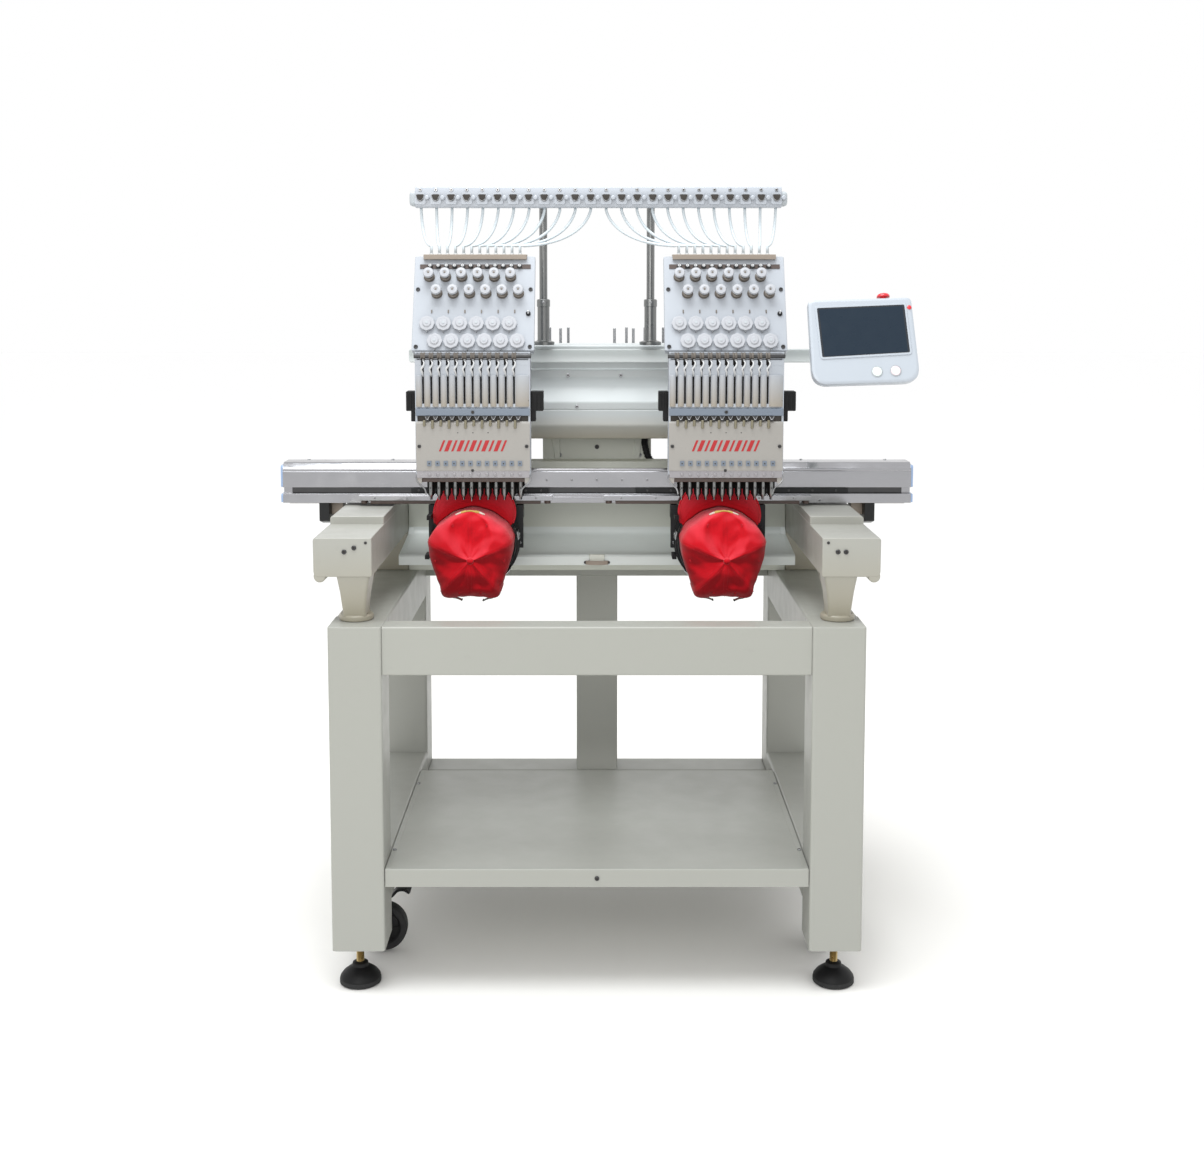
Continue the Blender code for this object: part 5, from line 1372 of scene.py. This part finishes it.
def cap_outline(angle):
    """Radius of the crown's silhouette at an angle from the top, about the cap's axis."""
    shape = ((0, 0.0805), (19, 0.0775), (42, 0.0775), (62, 0.0835), (76, 0.0862), (90, 0.0825), (108, 0.0815),
        (122, 0.0835), (136, 0.0905), (149, 0.1075), (154, 0.1055), (166, 0.095), (180, 0.0905))
    turn = abs(math.degrees(angle))
    for (a, low), (b, high) in zip(shape, shape[1:]):
        if turn <= b:
            t = (turn - a) / (b - a)
            return low + (high - low) * t * t * (3 - 2 * t)
    return shape[-1][1]


def ease(value):
    value = min(1.0, max(0.0, value))
    return value * value * (3 - 2 * value)


def rear_dip(angle):
    """How far the top of the rear crown sinks towards the needle plate."""
    return 0.0038 * max(0.0, cos(angle)) ** 10


def seam_share(turn):
    """1 on a seam of the lower crown and 0 half way between two of them."""
    nearest = min(abs((turn - seam + 180) % 360 - 180) for seam in SEAMS if seam)
    return max(0.0, 1 - nearest / 33.0)


def crown_depth(turn, t):
    """Depth of the crown's surface: a sunken front wedge between full upper panels."""
    full = BUTTON.y + 0.048 * (1 - cos(pi / 2 * t ** 1.25))
    sunken = BUTTON.y + 0.036 * t ** 0.45
    reach = 66 * max(0.06, 1.1 - t)
    wedge = ease(0.5 + 1.7 * (1 - abs(turn) / reach))
    lower = ease((abs(turn) - 74) / 14)
    hollow = 0.0075 * lower * sin(pi * t ** 0.8) * (1 - seam_share(turn) ** 1.4)
    return full + (sunken - full) * wedge + hollow + 0.004 * lower * t ** 2


def crumple(turn, t):
    """Soft folds that run out from the button and hang in the lower panels."""
    near = math.exp(-((t - 0.2) / 0.12) ** 2)
    beside = math.exp(-((abs(turn) - 96) / 30) ** 2)
    folds = near * (0.0035 * sin(radians(turn) * 3 + 1.2) - 0.003 * beside)
    hang = 0.0016 * sin(radians(turn) * 4.3 + 8 * t) * sin(pi * t) ** 2
    fine = 0.0007 * sin(radians(turn) * 11 - 16 * t) * t * (1 - t) * 4
    sag = 0.0022 * math.exp(-((turn - 150) / 24) ** 2) * sin(pi * t) * sin(20 * t)
    return folds + hang + fine + sag


def crown_point(angle, t, centre):
    """A point of the crown: t is 0 at the button, 1 at the rim and 2 at the open rear edge."""
    radius = cap_outline(angle)
    turn = (math.degrees(angle) + 180) % 360 - 180
    if t > 1:
        rim = crown_depth(turn, 1.0)
        depth = rim + (CAP_END - rim) * (t - 1)
        radius -= 0.0012 * sin(pi * (t - 1)) * (1 - seam_share(turn))
        radius -= rear_dip(angle) * ease(2 * (t - 1))
        return at(centre + radius * sin(angle), depth, CAP_Z + radius * cos(angle))
    arc = sin(pi / 2 * t ** 0.95)
    shift = (1 - arc) ** 1.1
    x = radius * arc * sin(angle) + shift * BUTTON.x
    z = CAP_Z + radius * arc * cos(angle) + shift * (BUTTON.z - CAP_Z)
    return at(centre + x, crown_depth(turn, t) + crumple(turn, t), z)


def fabric_sheet(name, rows, thick, cloth, closed=True):
    """A cloth surface through rows of points, with its thickness inwards."""
    bm = bmesh.new()
    grid = [[bm.verts.new(p) for p in row] for row in rows]
    for near, far in zip(grid, grid[1:]):
        for k in range(len(near) if closed else len(near) - 1):
            n = (k + 1) % len(near)
            bm.faces.new((near[k], near[n], far[n], far[k]))
    if closed:
        bmesh.ops.contextual_create(bm, geom=[e for e in bm.edges if e.is_boundary
            and all(v in set(grid[0]) for v in e.verts)])
    for face in bm.faces:
        face.smooth = True
    obj = to_object(bm, [M[cloth]], name)
    solid = obj.modifiers.new("cloth", "SOLIDIFY")
    solid.thickness = thick
    solid.offset = -1.0
    smooth = obj.modifiers.new("smooth", "SUBSURF")
    smooth.levels = 1
    smooth.render_levels = 1
    return obj


def stitches(piece, route):
    """Short raised threads along a route."""
    gap, size = 0.0026, 0.00045
    spent = 0.0
    for a, b in zip(route, route[1:]):
        spent += (b - a).length
        if spent >= gap:
            way = (b - a).normalized() * gap * 0.33
            middle = (a + b) / 2
            piece.tube([middle - way, middle, middle + way], [size * 0.6, size, size * 0.6], 5)
            spent = 0.0


def outward(point, centre):
    """Roughly square out of the crown at a point."""
    away = Vector((point.x - centre, (point.y - FRONT_Y - 0.235) * 0.9, point.z - CAP_Z))
    return away.normalized()


def caps():
    for word, centre in HEADS:
        body = f"cap_driver_{word}"
        front_rows, rear_rows, first = 22, 8, 0.035
        shares = [first + (1 - first) * n / (front_rows - 1) for n in range(front_rows)]
        shares += [1 + (n + 1) / rear_rows for n in range(rear_rows)]
        rows = [[crown_point(angle - pi, t, centre) for angle in circle(96)] for t in shares]
        crown = fabric_sheet(f"cap_{word}_crown", rows, 0.0016, "fabric")
        join_frame(crown, body, f"cap_{word}")
        brim(word, centre, body)
        trim = Piece("stitch")
        for ridge in SEAMS:
            for side in (-1, 1):
                route = []
                for k in range(150):
                    t = 0.1 + 1.85 * k / 149
                    offset = side * 0.0022 / max(0.012, cap_outline(radians(ridge)) * min(1.0, t))
                    p = crown_point(radians(ridge) + offset, t, centre)
                    route.append(p + outward(p, centre) * 0.0004)
                stitches(trim, route)
        trim.use("fabric")
        button = at(centre + BUTTON.x, BUTTON.y, BUTTON.z)
        trim.turn(mm("0 -2, 5.8 -2, 6.8 0.2, 6.2 2.8, 4 4.4, 0 5"), button, (0, -1, 0.12), 28)
        trim.use("stitch")
        for angle in (-102, -31, 31, 102, 165, -165):
            eyelet(trim, radians(angle), centre)
        motif(trim, centre)
        finish(trim, f"cap_{word}_stitching", body)


def eyelet(piece, angle, centre):
    """A worked eyelet: a ring of thread around a small dark hole."""
    spot = crown_point(angle, 0.62, centre)
    beside = crown_point(angle + 0.05, 0.62, centre)
    below = crown_point(angle, 0.66, centre)
    u = (beside - spot).normalized()
    normal = u.cross(below - spot).normalized()
    if normal.dot(outward(spot, centre)) < 0:
        normal = -normal
    v = normal.cross(u)
    ring, inner, low = ([spot + normal * lift + radius * (cos(s) * u + sin(s) * v) for s in circle(24)]
        for lift, radius in ((0.0005, 0.003), (0.0011, 0.0017), (-0.0004, 0.0013)))
    piece.use("stitch").loft([ring, [(a + b) / 2 + normal * 0.0006 for a, b in zip(ring, inner)], inner, low])
    piece.use("shadow").loft([[p + normal * 0.0006 for p in low], [p + normal * 0.0007 for p in low]])


def motif(piece, centre):
    """A plain leaf pattern of satin stitches on the top of the crown."""
    for k in range(-20, 21):
        share = k / 20
        piece.use("gold" if abs(share) < 0.62 else "pale_thread")
        angle = radians(share * 21)
        low = 0.93
        high = 0.98 + 0.34 * math.sqrt(max(0.02, 1 - share * share)) * (0.8 + 0.2 * cos(share * 9))
        route = []
        for n in range(7):
            p = crown_point(angle, low + (high - low) * n / 6, centre)
            route.append(p + outward(p, centre) * (0.0007 + 0.0004 * sin(pi * n / 6)))
        piece.tube(route, 0.0008, 6)


def brim(word, centre, body):
    """The stiff bill, turned up behind the needles, with its rows of stitching."""
    half_angle, root, reach = radians(64), 0.278, 0.1215
    count = 40

    def spot(share, up):
        angle = share * half_angle
        inner = cap_outline(angle) - rear_dip(angle)
        tall = (reach - inner) * (1 - abs(share) ** 4) + 0.0015
        depth = root + 0.0445 * (1 - abs(share) ** 4) * up ** 2.4
        radius = inner + tall * up
        return at(centre + radius * sin(angle), depth, CAP_Z + radius * cos(angle))

    rows = [[spot(2 * k / count - 1, n / 8) for k in range(count + 1)] for n in range(9)]
    sheet = fabric_sheet(f"cap_{word}_bill", rows, 0.003, "bill", closed=False)
    join_frame(sheet, body, None)
    piece = Piece("stitch")
    for up in (0.22, 0.38, 0.54, 0.7, 0.86):
        route = [spot(0.94 * (2 * k / 120 - 1), up) + Vector((0, -0.0006, 0.0004)) for k in range(121)]
        stitches(piece, route)
    piece.use("bill")
    edge = [spot(0.97 * (2 * k / 48 - 1), 1.0) + Vector((0, 0.0012, 0.0)) for k in range(49)]
    piece.tube(edge, 0.0021, 8)
    finish(piece, f"cap_{word}_bill_stitching", body)


def cap_drivers():
    for word, centre in HEADS:
        body = f"cap_driver_{word}"
        axis = Vector((centre, FRONT_Y, CAP_Z))
        ring = Piece("black_metal")
        ring.turn(mm("80.1 285.7, 84.6 285.7, 85 287, 85 332, 84.2 332.9, 80.1 332.9"), axis, BACK, 72)
        section = mm("83.5 320.2, 91.5 320.2, 92 321, 92 327.2, 91.5 328, 83.5 328")
        ring.loft([[axis + Vector((r * sin(angle), d, r * cos(angle))) for r, d in section]
            for angle in sweep(60, 4, 61)])
        finish(ring, f"{body}_ring", body, body)
        clips = Piece("steel")
        for angle in (80, -80, 132, -132):
            driver_clip(clips, radians(angle), centre)
        for angle, lean in ((158, 1), (-160, -1)):
            corner_clip(clips, radians(angle), lean, centre)
        clips.use("black")
        for x, z in ((centre - 0.0935, 0.788), (centre - 0.089, 0.868)):
            clips.along_d(rectangle(around(x, 0.0045), around(z, 0.0045), 0.001), (0.262, 0.3))
        for angles in (sweep(66, 4, 13), sweep(-66, -4, 11)):
            belt = [axis + Vector((0.0893 * sin(a), 0.2715, 0.0893 * cos(a))) for a in angles]
            clips.strip(belt, BACK, 0.016, 0.0022)
        finish(clips, f"{body}_clips", body)


def driver_clip(piece, angle, centre):
    """A spring clip on the driver's flange."""
    out = Vector((sin(angle), 0, cos(angle)))
    along = Vector((cos(angle), 0, -sin(angle)))
    base = Vector((centre, FRONT_Y, CAP_Z)) + out * 0.089
    bends = mm("330 0, 318 2.2, 300 2.2, 288 0.2, 284 1.6")
    leaf = [base + Vector((0, d, 0)) + out * lift for d, lift in bends]
    piece.use("steel").strip(leaf, along, 0.016, 0.0014)
    pin = base + Vector((0, 0.3285, 0))
    piece.rod(pin - along * 0.01, pin + along * 0.01, 0.0022, 12)
    piece.screw(base + Vector((0, 0.31, 0)) + out * 0.0028, tuple(out), 0.0032)


def corner_clip(piece, angle, lean, centre):
    """The bright binder clip that holds the loose cloth under the crown."""
    radius = cap_outline(angle)
    spot = at(centre + radius * sin(angle), 0.215, CAP_Z + radius * cos(angle))
    piece.use("chrome")
    route = curve([spot + Vector((lean * x, 0, z)) for x, z in mm("10 4, 4 -1.5, -6 -3.6, -16 -7.8")], 4)
    piece.strip(route, BACK, 0.012, 0.0016)
    ends = (spot + Vector((-lean * 0.015, d, -0.007)) for d in (-0.006, 0.006))
    piece.use("dark_steel").rod(*ends, 0.0016, 10)


# ---------------------------------------------------------------- control panel

PANEL = Matrix.Translation(at(0.5, 0.1, 1.2268)) @ Euler((radians(-20), radians(-1.7), radians(1.7)),
    "XYZ").to_matrix().to_4x4()
PANEL_OUT = PANEL.to_3x3() @ Vector(FRONT)
PANEL_FACE = -0.013
BUTTONS = (("start_button", (0.0205, -0.062)), ("stop_button", (0.0555, -0.0615)))


def on_panel(u, w, out=0.0):
    """A point of the panel's front face, out towards the operator."""
    return PANEL @ Vector((u, PANEL_FACE - out, w))


def panel_outline(shrink=0.0):
    half_top, half_low, high = 0.0985 - shrink, 0.1015 - shrink, 0.0835 - shrink
    corners = [(-half_top, high), (half_top, high), (half_low, -high), (-half_low, -high)]
    return rounded(corners, [0.01, 0.01, 0.03, 0.03], 8)


def panel_rings(*sections):
    """Rings on the panel from (out, outline) sections."""
    return [[on_panel(u, w, out) for u, w in outline] for out, outline in sections]


def control_panel():
    body = "control_panel"
    shell = Piece("plastic")
    profile = mm("-25.8 10, -24.5 4, -20 0.8, -6 0, -1.8 0.8, -0.4 2.8, 0 5.5")
    rings = panel_rings(*((out, panel_outline(shrink)) for out, shrink in profile))
    shell.loft(rings, ends=False)
    shell.face([shell.bm.verts.new(p) for p in rings[0]])
    front = panel_outline(0.0055)
    shell.loft(panel_rings((0.0, front), (-0.004, front)))
    finish(shell, "panel_shell", body, "panel_housing")
    details = Piece("plastic")
    screen = mm("-83 66, 83 68, 85.5 -26.5, -80 -31")
    rim = rounded([(u * 1.045, w * 1.0 + (0.004 if w > 0 else -0.004)) for u, w in screen], 0.006)
    bevel = [(u * 0.992, w * 0.992) for u, w in rim]
    details.loft(panel_rings((-0.001, rim), (0.0012, rim), (0.0016, bevel)))
    details.use("screen_rim")
    edge = rounded(screen, 0.003)
    details.loft(panel_rings((0.0005, edge), (0.0019, edge)))
    details.use("screen")
    glass = rounded([(u * 0.955, w * 0.955) for u, w in screen], 0.002)
    details.loft(panel_rings((0.001, glass), (0.0023, glass)))
    details.use("red").turn(mm("0 -1, 4.2 -1, 4.2 0.8, 3 1.8, 0 2.2"), on_panel(0.0925, 0.0625), PANEL_OUT,
        24)
    details.use("grey_plastic")
    for _, spot in BUTTONS:
        details.turn(mm("9.8 -1, 11.2 -1, 11 0.8, 10 1"), on_panel(*spot), PANEL_OUT, 36)
    details.use("plastic").box((0.5025, 0.5415), (0.108, 0.1625), (1.1775, 1.2025))
    finish(details, "panel_details", body)
    for name, spot in BUTTONS:
        button = Piece(name)
        button.turn(mm("0 -5, 9.3 -5, 9.3 1.2, 8.2 2, 6 1.6, 0 1.2"), on_panel(*spot), PANEL_OUT, 36)
        finish(button, f"{name}_cap", name, name)
    stop = Piece("red")
    up = PANEL.to_3x3() @ Vector(UP)
    centre = PANEL @ Vector((0.048, 0, 0.0835))
    stop.turn(mm("0 -10, 5.8 -10, 5.8 3.5, 11.5 4.2, 12.5 5.6, 12.2 8, 10 10.6, 5 11.8, 0 12"), centre, up,
        40)
    finish(stop, "estop_knob", "estop_button", "estop_button")


def panel_bar():
    bar = Piece("bar")
    section = rectangle((0.4915, 0.5185), (1.1705, 1.1995), [0.003, 0.007, 0.007, 0.003], 4)
    ends = [0.78, 0.94, 1.0, 1.0, 0.94, 0.8]
    places = [-0.405, -0.403, -0.399, 0.486, 0.49, 0.492]
    bar.loft([[at(x, 0.505 + (d - 0.505) * share, 1.185 + (z - 1.185) * share) for d, z in section] for x,
        share in zip(places, ends)])
    bar.rod(at(0.48, 0.505, 1.185), at(0.48, 0.152, 1.19), 0.0108, 24)
    bar.rod(at(0.468, 0.15, 1.19), at(0.492, 0.15, 1.19), 0.0124, 28, 0.001)
    bar.use("steel").rod(at(0.472, 0.15, 1.19), at(0.552, 0.15, 1.19), 0.0068, 20)
    bar.turn(mm("0 0, 10.5 0, 10.5 6, 9 7.2, 0 7.2"), at(0.5445, 0.15, 1.19), RIGHT, 6)
    bar.use("bar")
    for x in (-0.3, 0.3):
        clamp = rectangle((0.4885, 0.5215), (1.1675, 1.2025), 0.006, 3)
        bar.along_x(clamp, around(x, 0.008))
        bar.box(around(x, 0.008), (0.517, 0.531), (1.174, 1.196))
    finish(bar, "panel_bar", node="panel_arm")


# ---------------------------------------------------------------- stage

def studio():
    bpy.ops.mesh.primitive_plane_add(size=60, location=(0, 0, -0.0006))
    floor = bpy.context.object
    floor.name = "studio_floor"
    paint = Paint("floor_paint", srgb(246, 245, 242), 0.85, mottle=0.004, patch=1.0)
    away = paint.node("VectorMath", "Value", {"operation": "LENGTH"}, Vector=paint.coords)
    paint.shade(paint.span(away, 2.0, 5.5), (1.0, 1.0, 1.0))
    floor.data.materials.append(paint.done())
    world = bpy.data.worlds.new("studio_world")
    world.use_nodes = True
    world.node_tree.nodes["Background"].inputs["Color"].default_value = (1.0, 1.0, 1.0, 1.0)
    world.node_tree.nodes["Background"].inputs["Strength"].default_value = 1.0
    bpy.context.scene.world = world
    for name, place, target, size, power, colour in (("top", (-0.3, -0.7, 3.7), (0, 0, 0.8), 2.2, 88,
            (0.95, 0.98, 1.0)), ("front", (-0.7, -3.7, 2.0), (0, 0, 0.9), 1.8, 30, (1.0, 0.99, 0.97))):
        light = bpy.data.lights.new(name, "AREA")
        light.shape = "DISK"
        light.size = size
        light.energy = power
        light.color = colour
        lamp = bpy.data.objects.new(name, light)
        lamp.location = place
        lamp.rotation_euler = (Vector(target) - Vector(place)).to_track_quat("-Z", "Y").to_euler()
        bpy.context.scene.collection.objects.link(lamp)
    view = bpy.context.scene.view_settings
    view.view_transform = "Standard"
    view.look = "None"
    camera = bpy.data.cameras.new("camera")
    camera.sensor_width = 36.0
    camera.lens = 44.34
    camera.shift_x = 0.0042
    camera.shift_y = -0.126
    camera.clip_end = 100.0
    eye = bpy.data.objects.new("camera", camera)
    eye.location = (0.0, -3.11, 1.32)
    eye.rotation_euler = (radians(90 - 5.14), 0.0, 0.0)
    bpy.context.scene.collection.objects.link(eye)
    bpy.context.scene.camera = eye


side_frames()
cross_members()
levelling_feet()
casters()
machine_base()
side_arms()
column_and_beam()
conduit()
thread_rail()
thread_posts()
spool_tray()
beds()
inner_drive()
head_castings()
sewing_heads()
cross_beam()
carriage()
caps()
cap_drivers()
control_panel()
panel_bar()
studio()
